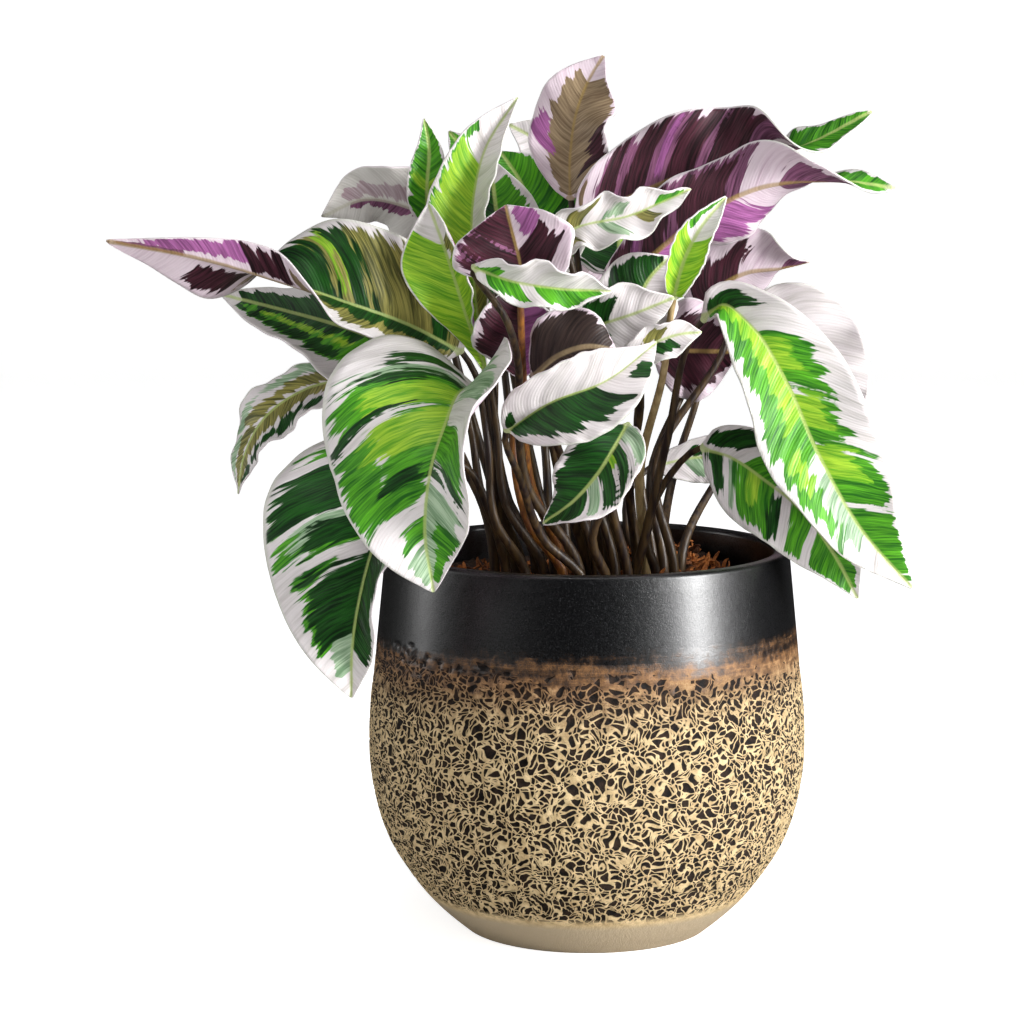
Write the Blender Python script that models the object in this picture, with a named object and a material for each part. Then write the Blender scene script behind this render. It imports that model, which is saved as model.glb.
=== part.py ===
"""Prayer plant with white variegated leaves in a turned ceramic pot.

Metres, +Z up. The pot's axis is Z and its foot stands on the ground at 0. The front is -Y.
"""

import math
import random
from dataclasses import dataclass

import bmesh
import bpy
import numpy as np
from mathutils import Vector
from mathutils.geometry import delaunay_2d_cdt

MM = 0.001

# Pot, in mm: the outside is a turned profile from the foot up, and the wall follows it inside.
POT_HEIGHT = 166
POT_SEGMENTS = 48
POT_OUTSIDE = [
    (54, 0), (60, 5), (66, 10.5), (72, 17), (80, 28), (86, 38), (90, 48), (93, 60), (94.7, 72),
    (95, 86), (94.3, 100), (92.6, 114), (91.2, 128), (90, 140), (89, 150), (88, 160),
]
RIM_OUTER, RIM_INNER, RIM_ROUND = 87.4, 80.6, 2
WALL = 6.8
FLOOR_THICKNESS = 9

# Mulch and the plain holes that the leaf stalks stand in, in mm.
SOIL_TOP, SOIL_EDGE = 151, 81.6
SOIL_SEGMENTS = 32
HOLE_DEPTH, HOLE_RADIUS, HOLE_SEGMENTS = 11, 3, 8
SEAT_GAP = 0.3

# Leaves, in mm.
BLADE_THICKNESS = 0.7
STALK_RADIUS, NECK_RADIUS = 2.3, 1.3
RING_SPACING = 13
ACROSS = 4
RUFFLE_POWER = 1.6

# The way a leaf's angles are read from: as seen from the front, from above the front, or from the sky.
FRONT = (0, -1, 0)
ABOVE = (0, -0.6, 0.8)
SKY = (0, 0, 1)


@dataclass
class Leaf:
    """One leaf. half, ruffle (height, waves) and curl hold left and right values, left being left of travel.

    stalk holds points from the mulch to the blade. blade holds points from its base to its tip, each with
    the angles round the midrib, in degrees, at which the left and the right half lie: 0 is left of travel
    and 90 faces the viewer that `seen` names.
    """

    name: str
    seen: tuple
    half: tuple
    widest: float
    ruffle: tuple
    curl: tuple
    root: tuple
    stalk: list
    blade: list


LEAVES = [
    Leaf("leaf_front_big", ABOVE, (36, 50), 0.4, (3.5, 2.5), (20, -25), (-26, -20),
         [(-40, -30, 182), (-43, -34, 216)],
         [(-47, -36, 238, 55, 150), (-54, -60, 238, 55, 155), (-59, -86, 228, 55, 175),
          (-65, -103, 209, 55, 188), (-67, -106, 186, 40, 180), (-64, -100, 162, 30, 170)]),
    Leaf("leaf_left_broad", ABOVE, (26, 48), 0.42, (3, 2), (10, -20), (-35, -12),
         [(-41, -18, 180), (-53, -24, 204)],
         [(-66, -34, 207, 20, 165), (-78, -58, 201, 30, 170), (-86, -78, 185, 45, 178),
          (-93, -86, 161, 55, 178), (-97, -87, 138, 45, 172), (-98, -85, 116, 35, 165)]),
    Leaf("leaf_left_narrow", FRONT, (19, 19), 0.45, (2, 3), (10, 10), (-40, 2),
         [(-46, 2, 186), (-72, 4, 221)],
         [(-103, 4, 239, 60, 235), (-122, 2, 234, 60, 235), (-140, 0, 221, 60, 235),
          (-148, 0, 206, 65, 240), (-151, 0, 189, 65, 240)]),
    Leaf("leaf_left_under", FRONT, (28, 20), 0.45, (4, 2), (25, 0), (-30, -4),
         [(-45, -8, 187), (-51, -10, 222)],
         [(-58, -8, 244, 45, 215), (-78, -14, 252, 45, 218), (-103, -18, 262, 45, 222),
          (-131, -20, 270, 55, 222), (-155, -20, 276, 60, 220)]),
    Leaf("leaf_far_left", FRONT, (15, 33), 0.38, (3.5, 2.5), (10, -10), (-28, 8),
         [(-39, 4, 186), (-42, 2, 221)],
         [(-54, -8, 251, 35, 180), (-78, -30, 265, 40, 180), (-104, -44, 275, 70, 190),
          (-127, -50, 283, 125, 245), (-161, -52, 293, 165, 320), (-199, -52, 300, 160, 330)]),
    Leaf("leaf_left_back", FRONT, (17, 15), 0.45, (4, 2.5), (10, 10), (-22, 22),
         [(-38, 26, 192), (-42, 34, 258)],
         [(-55, 40, 299, 165, 330), (-77, 50, 311, 160, 330),
          (-98, 56, 315, 160, 330), (-118, 60, 307, 165, 335)]),
    Leaf("leaf_small_upright", FRONT, (8, 8), 0.36, (0.6, 2), (10, 10), (-31, 16),
         [(-42, 14, 193), (-60, 12, 259)],
         [(-69, 8, 306, 20, 160), (-69, 4, 322, 20, 160),
          (-68, 2, 337, 20, 160), (-70, 0, 350, 30, 150)]),
    Leaf("leaf_rolled", FRONT, (20, 14), 0.7, (1.5, 2), (40, 60), (-18, -12),
         [(-36, -12, 188), (-39, -14, 218)],
         [(-43, -20, 243, 0, 110), (-52, -35, 270, 0, 110),
          (-60, -43, 296, 5, 110), (-67, -43, 315, 20, 120)]),
    Leaf("leaf_tall_left", FRONT, (21, 16), 0.45, (1.5, 2), (20, 30), (-20, 0),
         [(-34, 0, 186), (-41, -4, 222)],
         [(-46, 0, 256, 25, 115), (-49, 2, 286, 25, 115), (-49, 4, 315, 25, 115),
          (-44, 4, 337, 30, 120), (-30, 4, 359, 30, 130)]),
    Leaf("leaf_top", FRONT, (19, 19), 0.5, (3.5, 2.5), (10, 15), (6, 16),
         [(2, 16, 193), (-2, 16, 272)],
         [(-7, 16, 315, 140, 345), (-7, 18, 335, 140, 345), (-4, 20, 354, 140, 345),
          (1, 21, 367, 150, 350), (7, 21, 377, 160, 350)]),
    Leaf("leaf_back_green", FRONT, (26, 26), 0.45, (2.5, 2), (10, 10), (-8, 30),
         [(-11, 36, 191), (-16, 42, 244)],
         [(-18, 48, 275, 20, 165), (-23, 52, 301, 20, 165),
          (-28, 54, 321, 20, 165), (-38, 54, 336, 20, 165)]),
    Leaf("leaf_back_dark", FRONT, (15, 18), 0.5, (1.5, 2), (10, 10), (-14, 18),
         [(-22, 20, 193), (-33, 24, 245)],
         [(-37, 26, 276, 10, 170), (-38, 27, 298, 10, 170),
          (-40, 27, 315, 10, 170), (-42, 26, 333, 10, 170)]),
    Leaf("leaf_back_pale", FRONT, (15, 15), 0.45, (2, 2), (10, 10), (2, 38),
         [(-2, 50, 189), (-6, 62, 260)],
         [(-10, 70, 301, 10, 170), (-14, 73, 323, 10, 170),
          (-21, 74, 340, 10, 170), (-34, 74, 348, 15, 165)]),
    Leaf("leaf_back_left", FRONT, (14, 14), 0.45, (1.5, 2), (10, 10), (-20, 36),
         [(-29, 50, 189), (-38, 60, 256)],
         [(-42, 66, 292, 15, 165), (-47, 69, 314, 15, 165),
          (-53, 70, 334, 15, 165), (-61, 70, 345, 15, 165)]),
    Leaf("leaf_long_right", FRONT, (22, 25), 0.4, (4.5, 3), (10, 10), (16, 10),
         [(6, 8, 194), (1, 2, 260)],
         [(-6, -2, 305, 225, 340), (16, -2, 316, 225, 345), (43, -2, 327, 225, 352),
          (69, -3, 333, 235, 362), (90, -5, 338, 290, 440), (120, -5, 353, 345, 520)]),
    Leaf("leaf_second_right", FRONT, (22, 21), 0.42, (3.5, 3), (10, 10), (10, 0),
         [(5, -2, 195), (5, -8, 235)],
         [(6, -14, 274, 235, 325), (26, -17, 292, 235, 325), (47, -20, 309, 232, 330),
          (71, -22, 321, 225, 340), (100, -23, 324, 290, 440), (128, -23, 321, 340, 510)]),
    Leaf("leaf_white_ruffled", FRONT, (12, 12), 0.5, (3, 4), (10, 10), (0, -6),
         [(-12, -16, 197), (-21, -34, 262)],
         [(-19, -42, 291, 40, 140), (-8, -46, 304, 40, 140),
          (15, -48, 310, 40, 140), (41, -46, 321, 45, 135)]),
    Leaf("leaf_spear", FRONT, (9, 9), 0.45, (0.8, 2), (60, 60), (26, -2),
         [(22, -12, 197), (31, -36, 246)],
         [(34, -48, 276, 40, 140), (38, -52, 292, 40, 140),
          (45, -53, 306, 40, 140), (55, -52, 318, 40, 140)]),
    Leaf("leaf_striped", FRONT, (19, 16), 0.45, (2, 2.5), (15, 15), (22, 4),
         [(18, -6, 196), (22, -22, 232)],
         [(19, -34, 256, 15, 165), (19, -37, 270, 15, 165),
          (24, -38, 283, 15, 165), (33, -37, 293, 20, 160)]),
    Leaf("leaf_right_small", FRONT, (20, 20), 0.45, (2.5, 3), (10, 10), (34, 8),
         [(28, 16, 193), (46, 24, 241)],
         [(51, 28, 263, 230, 340), (58, 30, 276, 230, 340), (70, 31, 283, 230, 345),
          (85, 31, 285, 260, 380), (98, 30, 288, 300, 440)]),
    Leaf("leaf_droop_right", FRONT, (26, 22), 0.5, (3, 3), (-10, 15), (20, -14),
         [(24, -18, 171), (33, -26, 215)],
         [(47, -34, 266, 20, 100), (55, -40, 273, 15, 120), (66, -46, 265, 15, 140), (80, -52, 243, 12, 155),
          (94, -56, 212, 12, 155), (112, -58, 181, 12, 155), (133, -58, 157, 12, 160)]),
    Leaf("leaf_low_right", FRONT, (21, 21), 0.42, (2.5, 2.5), (-10, 5), (30, -10),
         [(25, -12, 171), (34, -12, 197)],
         [(48, -18, 211, 30, 168), (60, -26, 208, 30, 165), (74, -34, 199, 25, 165),
          (89, -42, 187, 20, 168), (101, -46, 171, 20, 170), (112, -48, 151, 20, 170)]),
    Leaf("leaf_white_right", FRONT, (20, 24), 0.45, (2.5, 3), (0, 0), (38, -2),
         [(29, 2, 199), (57, 6, 247)],
         [(69, 8, 270, 10, 170), (90, 8, 262, 10, 170), (105, 8, 242, 10, 170), (118, 6, 217, 10, 170)]),
    Leaf("leaf_dark_right", FRONT, (22, 22), 0.45, (2.5, 2.5), (10, 10), (30, 20),
         [(24, 24, 192), (23, 20, 228)],
         [(28, 16, 249, 190, 350), (41, 14, 250, 190, 350),
          (54, 12, 250, 190, 350), (66, 10, 250, 195, 345)]),
    Leaf("leaf_low_back", FRONT, (10, 12), 0.45, (1.5, 2.5), (10, 10), (24, 34),
         [(19, 38, 168), (20, 40, 186)],
         [(30, 44, 196, 30, 150), (52, 46, 200, 30, 150),
          (74, 47, 197, 30, 150), (96, 47, 198, 30, 150)]),
    Leaf("leaf_purple_wave", FRONT, (24, 26), 0.55, (3, 3), (15, 15), (-10, -8),
         [(-25, -26, 198), (-28, -50, 243)],
         [(-29, -70, 278, 160, 365), (-29, -73, 290, 160, 365),
          (-32, -74, 303, 160, 365), (-35, -72, 315, 160, 365)]),
    Leaf("leaf_curl", FRONT, (13, 9), 0.5, (2.5, 3), (20, 20), (-3, -21),
         [(-27, -42, 200), (-30, -52, 226), (-30, -68, 250), (-35, -84, 270)],
         [(-48, -94, 291, 50, 150), (-33, -98, 286, 50, 150),
          (-14, -99, 283, 50, 150), (7, -96, 282, 55, 150)]),
    Leaf("leaf_purple_v", FRONT, (22, 22), 0.6, (2, 2), (10, 10), (-10, -20),
         [(-26, -28, 181), (-32, -34, 216)],
         [(-29, -34, 242, 150, 388), (-29, -40, 256, 150, 390),
          (-30, -47, 271, 150, 390), (-29, -53, 283, 150, 390)]),
    Leaf("leaf_centre", FRONT, (20, 20), 0.5, (2, 2), (-10, -10), (-2, -30),
         [(-19, -38, 174), (-29, -58, 202)],
         [(-35, -74, 224, 55, 150), (-17, -88, 237, 45, 150),
          (5, -92, 246, 45, 150), (25, -88, 261, 55, 145)]),
    Leaf("leaf_centre_dark", FRONT, (14, 18), 0.5, (2, 2.5), (10, 10), (4, -14),
         [(-7, -24, 194), (-16, -44, 221)],
         [(-24, -62, 245, 200, 335), (-14, -68, 254, 200, 335),
          (-2, -70, 258, 200, 335), (10, -68, 256, 200, 335)]),
    Leaf("leaf_centre_pink", FRONT, (17, 13), 0.5, (2.5, 3), (10, 10), (12, -16),
         [(1, -20, 197), (-6, -24, 232)],
         [(-12, -36, 256, 30, 150), (4, -45, 265, 30, 150),
          (20, -51, 271, 30, 150), (34, -53, 277, 30, 150)]),
    Leaf("leaf_mid_right", FRONT, (8, 9), 0.5, (1.5, 2.5), (10, 10), (17, -26),
         [(9, -38, 191), (11, -50, 234)],
         [(13, -56, 254, 35, 145), (24, -58, 258, 35, 145),
          (35, -59, 262, 35, 145), (45, -58, 263, 35, 145)]),
    Leaf("leaf_hanging", ABOVE, (17, 17), 0.5, (2, 2.5), (0, 0), (8, -30),
         [(1, -40, 174), (13, -50, 205)],
         [(15, -60, 225, 20, 165), (10, -70, 218, 15, 165), (2, -76, 206, 10, 170),
          (-8, -78, 195, 10, 170), (-20, -76, 186, 15, 165)]),
    Leaf("leaf_rear_left", SKY, (28, 28), 0.45, (2.5, 2.5), (10, 10), (-16, 44),
         [(-22, 56, 230)],
         [(-32, 66, 262, -10, 190), (-46, 92, 278, -10, 190),
          (-60, 118, 268, -10, 190), (-70, 142, 240, -10, 190)]),
    Leaf("leaf_rear_mid", SKY, (30, 30), 0.45, (2.5, 2.5), (10, 10), (10, 42),
         [(14, 54, 240)],
         [(16, 62, 280, -15, 195), (16, 90, 300, -15, 195),
          (14, 120, 292, -15, 195), (12, 150, 262, -15, 195)]),
    Leaf("leaf_rear_right", SKY, (28, 28), 0.45, (2.5, 2.5), (10, 10), (34, 32),
         [(42, 62, 195), (52, 62, 228)],
         [(56, 66, 248, -10, 190), (74, 84, 262, -10, 190),
          (92, 110, 252, -10, 190), (108, 134, 222, -10, 190)]),
    Leaf("leaf_rear_low_left", SKY, (26, 26), 0.45, (2.5, 2.5), (10, 10), (-34, 30),
         [(-50, 46, 190)],
         [(-62, 58, 212, -10, 190), (-78, 80, 218, -10, 190),
          (-94, 100, 202, -10, 190), (-106, 118, 172, -10, 190)]),
    Leaf("leaf_rear_low_right", SKY, (26, 26), 0.45, (2.5, 2.5), (10, 10), (42, 22),
         [(60, 50, 190)],
         [(72, 64, 206, -10, 190), (90, 88, 210, -10, 190),
          (106, 110, 192, -10, 190), (118, 128, 160, -10, 190)]),
]


def unit(rows):
    return rows / np.linalg.norm(rows, axis=-1, keepdims=True)


def knots_of(rows):
    """Each row's share of the length along its points, from 0 to 1."""
    gaps = np.linalg.norm(np.diff(rows[:, :3], axis=0), axis=1)
    return np.concatenate([[0], np.cumsum(gaps)]) / gaps.sum()


def spline(rows, stations):
    """The rows' columns at these stations from 0 to 1, on a smooth curve through every row."""
    rows = np.array(rows, float)
    knots = knots_of(rows)
    slopes = np.gradient(rows, knots, axis=0)
    span = np.clip(np.searchsorted(knots, stations, side="right") - 1, 0, len(knots) - 2)
    length = (knots[span + 1] - knots[span])[:, None]
    t = (stations - knots[span])[:, None] / length
    start, end = rows[span], rows[span + 1]
    return (
        (2 * t**3 - 3 * t**2 + 1) * start
        + (t**3 - 2 * t**2 + t) * length * slopes[span]
        + (3 * t**2 - 2 * t**3) * end
        + (t**3 - t**2) * length * slopes[span + 1]
    )


def directions(rows, stations, step=0.01):
    ahead = spline(rows, np.clip(stations + step, 0, 1))[:, :3]
    behind = spline(rows, np.clip(stations - step, 0, 1))[:, :3]
    return unit(ahead - behind)


def half_width(stations, widest):
    """A rounded base, its widest part at `widest` and a drawn-out tip, as a share of the half width."""
    rounded = np.sin(np.pi * stations ** (math.log(0.5) / math.log(widest))) ** 0.8
    drawn = 1 - 0.35 * np.clip((stations - 0.7) / 0.3, 0, 1) ** 2
    return np.clip(rounded, 0, 1) * drawn


def half_blade(leaf, side, stations, shares):
    """Points of one half of the blade: side 0 is the left one, 1 the right. Shares run out from the midrib."""
    path = spline(leaf.blade, stations)
    ahead = directions(leaf.blade, stations)
    leftward = unit(np.cross(leaf.seen, ahead))
    viewward = np.cross(ahead, leftward)
    turn = 1 - 2 * side
    bend = math.radians(leaf.curl[side]) * turn
    start = np.radians(path[:, 3 + side]) - bend / 2
    width = leaf.half[side] * half_width(stations, leaf.widest) + 1.2 * (1 - stations) + 0.4
    height, waves = leaf.ruffle
    phase = random.Random(leaf.name).uniform(0, 1) + 0.37 * side
    wave = height * np.sin(2 * np.pi * (waves * stations + phase)) * np.sin(np.pi * stations) ** 0.6
    points = []
    for share in shares:
        mid = start + bend * share / 2
        reach = width * share * np.sinc(bend * share / (2 * np.pi))
        out = np.cos(mid)[:, None] * leftward + np.sin(mid)[:, None] * viewward
        upper = turn * (np.cos(mid)[:, None] * viewward - np.sin(mid)[:, None] * leftward)
        lift = wave * share**RUFFLE_POWER
        points.append(path[:, :3] + reach[:, None] * out + lift[:, None] * upper)
    return np.stack(points, axis=1)


def blade_surface(leaf, stations, across):
    """The blade's middle surface, a row of points from the left margin to the right one at each station."""
    shares = np.arange(1, across // 2 + 1) / (across // 2)
    left = half_blade(leaf, 0, stations, shares)[:, ::-1]
    right = half_blade(leaf, 1, stations, shares)
    midrib = spline(leaf.blade, stations)[:, None, :3]
    return np.concatenate([left, midrib, right], axis=1)


def blade_rings(leaf, stations, across):
    """Closed rings round the blade: its upper face from left to right, then its lower face back."""
    near = blade_surface(leaf, np.clip(stations - 0.01, 0, 1), across)
    far = blade_surface(leaf, np.clip(stations + 0.01, 0, 1), across)
    middle = blade_surface(leaf, stations, across)
    sideways = np.gradient(middle, axis=1)
    upper = unit(np.cross(sideways, far - near))
    offset = upper * BLADE_THICKNESS / 2
    return np.concatenate([middle + offset, (middle - offset)[:, ::-1]], axis=1)


def stalk_rings(leaf, across):
    """Round rings from the bottom of the hole up to the blade's base, turned to meet its first ring."""
    x, y = leaf.root
    path = [(x, y, SOIL_TOP - HOLE_DEPTH + SEAT_GAP), (x, y, SOIL_TOP - 4), (x, y, SOIL_TOP + 3), *leaf.stalk]
    path += [point[:3] for point in leaf.blade[:2]]
    path = np.array(path, float)
    knots = knots_of(path)
    free_length = np.linalg.norm(np.diff(path[2:-1], axis=0), axis=1).sum()
    count = 1 + max(3, round(free_length / (2 * RING_SPACING)))
    stations = np.append(0, np.linspace(knots[2], knots[-2], count))
    centres = spline(path, stations)
    ahead = directions(path, stations)
    first = blade_surface(leaf, np.array([0.06]), across)[0]
    right = first[-1] - first[0]
    rings = []
    for i in range(count, -1, -1):
        right = unit(right - np.dot(right, ahead[i]) * ahead[i])
        upper = np.cross(right, ahead[i])
        radius = STALK_RADIUS + (NECK_RADIUS - STALK_RADIUS) * i / count
        angles = np.pi - (np.arange(2 * across + 2) + 0.5) * np.pi / (across + 1)
        circle = np.cos(angles)[:, None] * right + np.sin(angles)[:, None] * upper
        rings.append(centres[i] + radius * circle)
    return np.array(rings[::-1])


def leaf_rings(leaf, across=ACROSS, spacing=RING_SPACING):
    length = np.linalg.norm(np.diff(np.array(leaf.blade)[:, :3], axis=0), axis=1).sum()
    count = max(7, round(length / spacing))
    stations = np.linspace(0, 1, count + 1)[1:]
    stations[0] = 0.06
    return np.concatenate([stalk_rings(leaf, across), blade_rings(leaf, stations, across)])


def loft(name, rings, material):
    """One closed body through rings of equal size, split into triangles alike on both faces of a blade."""
    mesh = bmesh.new()
    rows = [[mesh.verts.new(point * MM) for point in ring] for ring in rings]
    size = len(rings[0])
    for lower, higher in zip(rows, rows[1:]):
        for j in range(size):
            k = (j + 1) % size
            if j < size // 2:
                mesh.faces.new((lower[j], lower[k], higher[k]))
                mesh.faces.new((lower[j], higher[k], higher[j]))
            else:
                mesh.faces.new((lower[j], lower[k], higher[j]))
                mesh.faces.new((lower[k], higher[k], higher[j]))
    mesh.faces.new(rows[0][::-1])
    half = size // 2
    for j in range(half - 1):
        a, b = rows[-1][j], rows[-1][j + 1]
        c, d = rows[-1][size - 2 - j], rows[-1][size - 1 - j]
        mesh.faces.new((a, b, c, d))
    return finish(name, mesh, material)


def turned(name, profile, segments, material):
    """A closed solid turned round Z. The profile starts and ends on the axis."""
    mesh = bmesh.new()
    start, end = profile[0], profile[-1]
    poles = [mesh.verts.new((0, 0, z * MM)) for _, z in (start, end)]
    rings = []
    for radius, z in profile[1:-1]:
        ring = []
        for i in range(segments):
            angle = 2 * math.pi * i / segments
            ring.append(mesh.verts.new((radius * math.cos(angle) * MM, radius * math.sin(angle) * MM, z * MM)))
        rings.append(ring)
    for i in range(segments):
        j = (i + 1) % segments
        mesh.faces.new((poles[0], rings[0][j], rings[0][i]))
        mesh.faces.new((poles[1], rings[-1][i], rings[-1][j]))
        for inner, outer in zip(rings, rings[1:]):
            mesh.faces.new((inner[i], inner[j], outer[j], outer[i]))
    return finish(name, mesh, material)


def finish(name, mesh, material):
    bmesh.ops.recalc_face_normals(mesh, faces=mesh.faces)
    data = bpy.data.meshes.new(name)
    mesh.to_mesh(data)
    mesh.free()
    data.materials.append(material)
    piece = bpy.data.objects.new(name, data)
    bpy.context.scene.collection.objects.link(piece)
    return piece


def plain_material(name, colour, roughness):
    material = bpy.data.materials.new(name)
    material.use_nodes = True
    shader = material.node_tree.nodes["Principled BSDF"]
    shader.inputs["Base Color"].default_value = (*colour, 1)
    shader.inputs["Roughness"].default_value = roughness
    shader.inputs["Metallic"].default_value = 0
    return material


def rim_profile():
    """The rounded rim, from its outer edge over the top to its inner edge."""
    points = []
    for centre, start in ((RIM_OUTER - RIM_ROUND, 0), (RIM_INNER + RIM_ROUND, 90)):
        for step in range(3):
            angle = math.radians(start + 45 * step)
            points.append((centre + RIM_ROUND * math.cos(angle), POT_HEIGHT - RIM_ROUND + RIM_ROUND * math.sin(angle)))
    return points


def inside_profile():
    """The hollow's wall from the rim down to the floor."""
    wall = [(radius - WALL, z) for radius, z in POT_OUTSIDE[-1:3:-2]]
    return wall + [(56, FLOOR_THICKNESS + 4), (48, FLOOR_THICKNESS)]


def make_pot(material):
    profile = [(0, 0), *POT_OUTSIDE, *rim_profile(), *inside_profile(), (0, FLOOR_THICKNESS)]
    return turned("pot", profile, POT_SEGMENTS, material)


def soil_profile():
    """The mulch fills the hollow, a little clear of its wall and floor."""
    hollow = [(radius - SEAT_GAP, z) for radius, z in reversed(inside_profile()) if z < SOIL_TOP - 4]
    hollow[0] = (48 - SEAT_GAP, FLOOR_THICKNESS + SEAT_GAP)
    hollow[1] = (56 - 2 * SEAT_GAP, FLOOR_THICKNESS + 4 + SEAT_GAP)
    return [(0, FLOOR_THICKNESS + SEAT_GAP), *hollow, (SOIL_EDGE, SOIL_TOP)]


def circle(mesh, centre, radius, z, segments):
    ring = []
    for i in range(segments):
        angle = 2 * math.pi * i / segments
        x, y = centre[0] + radius * math.cos(angle), centre[1] + radius * math.sin(angle)
        ring.append(mesh.verts.new((x * MM, y * MM, z * MM)))
    return ring


def join_rings(mesh, lower, higher):
    for i in range(len(lower)):
        j = (i + 1) % len(lower)
        mesh.faces.new((lower[i], lower[j], higher[j], higher[i]))


def fill_top(mesh, outline, mouths):
    """The flat top between its outline and the mouths of the holes."""
    corners, edges = [], []
    for ring in (outline, *mouths):
        first = len(corners)
        corners += ring
        edges += [(first + i, first + (i + 1) % len(ring)) for i in range(len(ring))]
    places = [Vector(corner.co[:2]) for corner in corners]
    _, _, faces, origins, _, _ = delaunay_2d_cdt(places, edges, [], 0, 1e-7)
    holes = [Vector(leaf.root) * MM for leaf in LEAVES]
    for face in faces:
        points = [corners[origins[i][0]] for i in face]
        middle = sum((Vector(point.co[:2]) for point in points), Vector((0, 0))) / 3
        if all((middle - hole).length > 0.9 * HOLE_RADIUS * MM for hole in holes):
            mesh.faces.new(points)


def make_soil(material):
    """The mulch with a plain round hole for each leaf stalk."""
    mesh = bmesh.new()
    (_, bottom), *profile = soil_profile()
    rings = [circle(mesh, (0, 0), radius, z, SOIL_SEGMENTS) for radius, z in profile]
    mesh.faces.new(rings[0])
    for lower, higher in zip(rings, rings[1:]):
        join_rings(mesh, lower, higher)
    mouths = []
    for leaf in LEAVES:
        mouths.append(circle(mesh, leaf.root, HOLE_RADIUS, SOIL_TOP, HOLE_SEGMENTS))
        floor = circle(mesh, leaf.root, HOLE_RADIUS, SOIL_TOP - HOLE_DEPTH, HOLE_SEGMENTS)
        join_rings(mesh, mouths[-1], floor)
        mesh.faces.new(floor)
    fill_top(mesh, rings[-1], mouths)
    return finish("soil", mesh, material)


def clear_scene():
    for item in list(bpy.data.objects):
        bpy.data.objects.remove(item)


def main():
    clear_scene()
    bpy.context.scene.unit_settings.system = "METRIC"
    make_pot(plain_material("Glazed stoneware", (0.30, 0.22, 0.13), 0.4))
    make_soil(plain_material("Coir mulch", (0.20, 0.08, 0.03), 0.9))
    foliage = plain_material("Leaf", (0.10, 0.27, 0.05), 0.45)
    for leaf in LEAVES:
        loft(leaf.name, leaf_rings(leaf), foliage)


if __name__ == "__main__":
    main()
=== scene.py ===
"""Looks of the prayer plant and its turned pot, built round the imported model.

Sizes are in millimetres unless a name says otherwise, +Z up. The pot's axis is Z and the front is -Y.
"""

import math
import random
from dataclasses import dataclass, field

import bpy
import numpy as np
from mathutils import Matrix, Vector


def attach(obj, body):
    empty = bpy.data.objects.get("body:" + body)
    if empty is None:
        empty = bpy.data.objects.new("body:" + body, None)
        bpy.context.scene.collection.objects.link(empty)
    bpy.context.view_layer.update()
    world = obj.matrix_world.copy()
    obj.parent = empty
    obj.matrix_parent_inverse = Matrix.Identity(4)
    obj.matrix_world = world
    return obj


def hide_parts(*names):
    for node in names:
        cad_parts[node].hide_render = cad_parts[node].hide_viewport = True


bl_info = {
    "name": "Potted prayer plant",
    "version": (1, 0, 0),
    "blender": (4, 5, 0),
    "location": "3D View > Sidebar > Prayer plant",
    "description": "Builds a variegated prayer plant in a turned, pitted pot",
    "category": "Add Mesh",
}

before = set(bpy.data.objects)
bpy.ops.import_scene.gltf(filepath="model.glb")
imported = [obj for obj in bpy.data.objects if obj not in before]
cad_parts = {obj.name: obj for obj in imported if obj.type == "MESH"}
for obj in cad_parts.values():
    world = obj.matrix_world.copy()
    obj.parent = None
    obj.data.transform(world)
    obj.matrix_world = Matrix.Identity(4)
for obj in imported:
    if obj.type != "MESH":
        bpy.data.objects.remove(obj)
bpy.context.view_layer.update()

MM = 0.001

# Pot: the outside is a turned profile from the foot up, and the wall follows it inside.
POT_HEIGHT = 166
POT_OUTSIDE = [
    (54, 0), (60, 5), (66, 10.5), (72, 17), (80, 28), (86, 38), (90, 48), (93, 60), (94.7, 72),
    (95, 86), (94.3, 100), (92.6, 114), (91.2, 128), (90, 140), (89, 150), (88, 160),
]
RIM_OUTER, RIM_INNER, RIM_ROUND = 87.4, 80.6, 2
WALL = 6.8
FLOOR_THICKNESS = 9
FOOT_HOLLOW = 30
FOOT_BAND, BAND_BOTTOM = 16, 135
POT_SPACING = 1.1
PIT_SCALE, PIT_DEPTH = 300.0, 0.7
PIT_DRIFT, COMB_SPACING = 11, 2.4
PITS_FROM = 70.5
GLAZED_WITHIN, GLAZED_ABOVE = 84.5, 100
RUST_COLOURS = (0.30, 0.145, 0.055), (0.11, 0.054, 0.025)
GLAZE_COLOURS = (0.0015, 0.0015, 0.002), (0.020, 0.021, 0.023)
# The pits' own dark brown-black colour, darkened further as painted shade in the hollows.
PIT_AND_SHADE_COLOURS = (0.030, 0.015, 0.008), (0.005, 0.003, 0.0025)
GLAZE_ROUGHNESS = 0.31

# Mulch.
SOIL_TOP = 151
HOLE_DEPTH, SEAT_GAP = 11, 0.3
HEAP_X, HEAP_HEIGHT = 33, 9
BED_REACH, CHIP_REACH, CHIP_LIMIT = 79.3, 74, 80.5
CHIP_WALL = 0.7
# The bed's near-black colour is partly the dark mulch under the chips and partly painted shade inside the
# pot.
BED_AND_SHADE_COLOURS = (0.05, 0.022, 0.01), (0.012, 0.006, 0.004)
CHIP_COLOURS = (0.60, 0.20, 0.04), (0.26, 0.08, 0.02)
CHIP_DARK = (0.06, 0.022, 0.010)

# Leaves.
BLADE_THICKNESS = 0.7
STALK_RADIUS, NECK_RADIUS = 2.3, 1.3
RUFFLE_POWER = 1.6
CRIMPS = 9
VEIN_LEAN, VEIN_CURVE = 0.6, 0.25
VEIN_SPACING = 7.5
PLEAT_DEPTH = 0.22
RIB_HEIGHT, RIB_WIDTH = 0.9, 1.2
UV_SCALE, UV_STEP = 0.01, 3
FIRST_STATION = 0.06
BLADE_SPACING, STALK_SPACING = 1.7, 6
HALF_ACROSS, SHARE_POWER = 13, 1.25
PATCH_SOFTNESS, REACH_SOFTNESS = 0.08, 0.5

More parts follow.
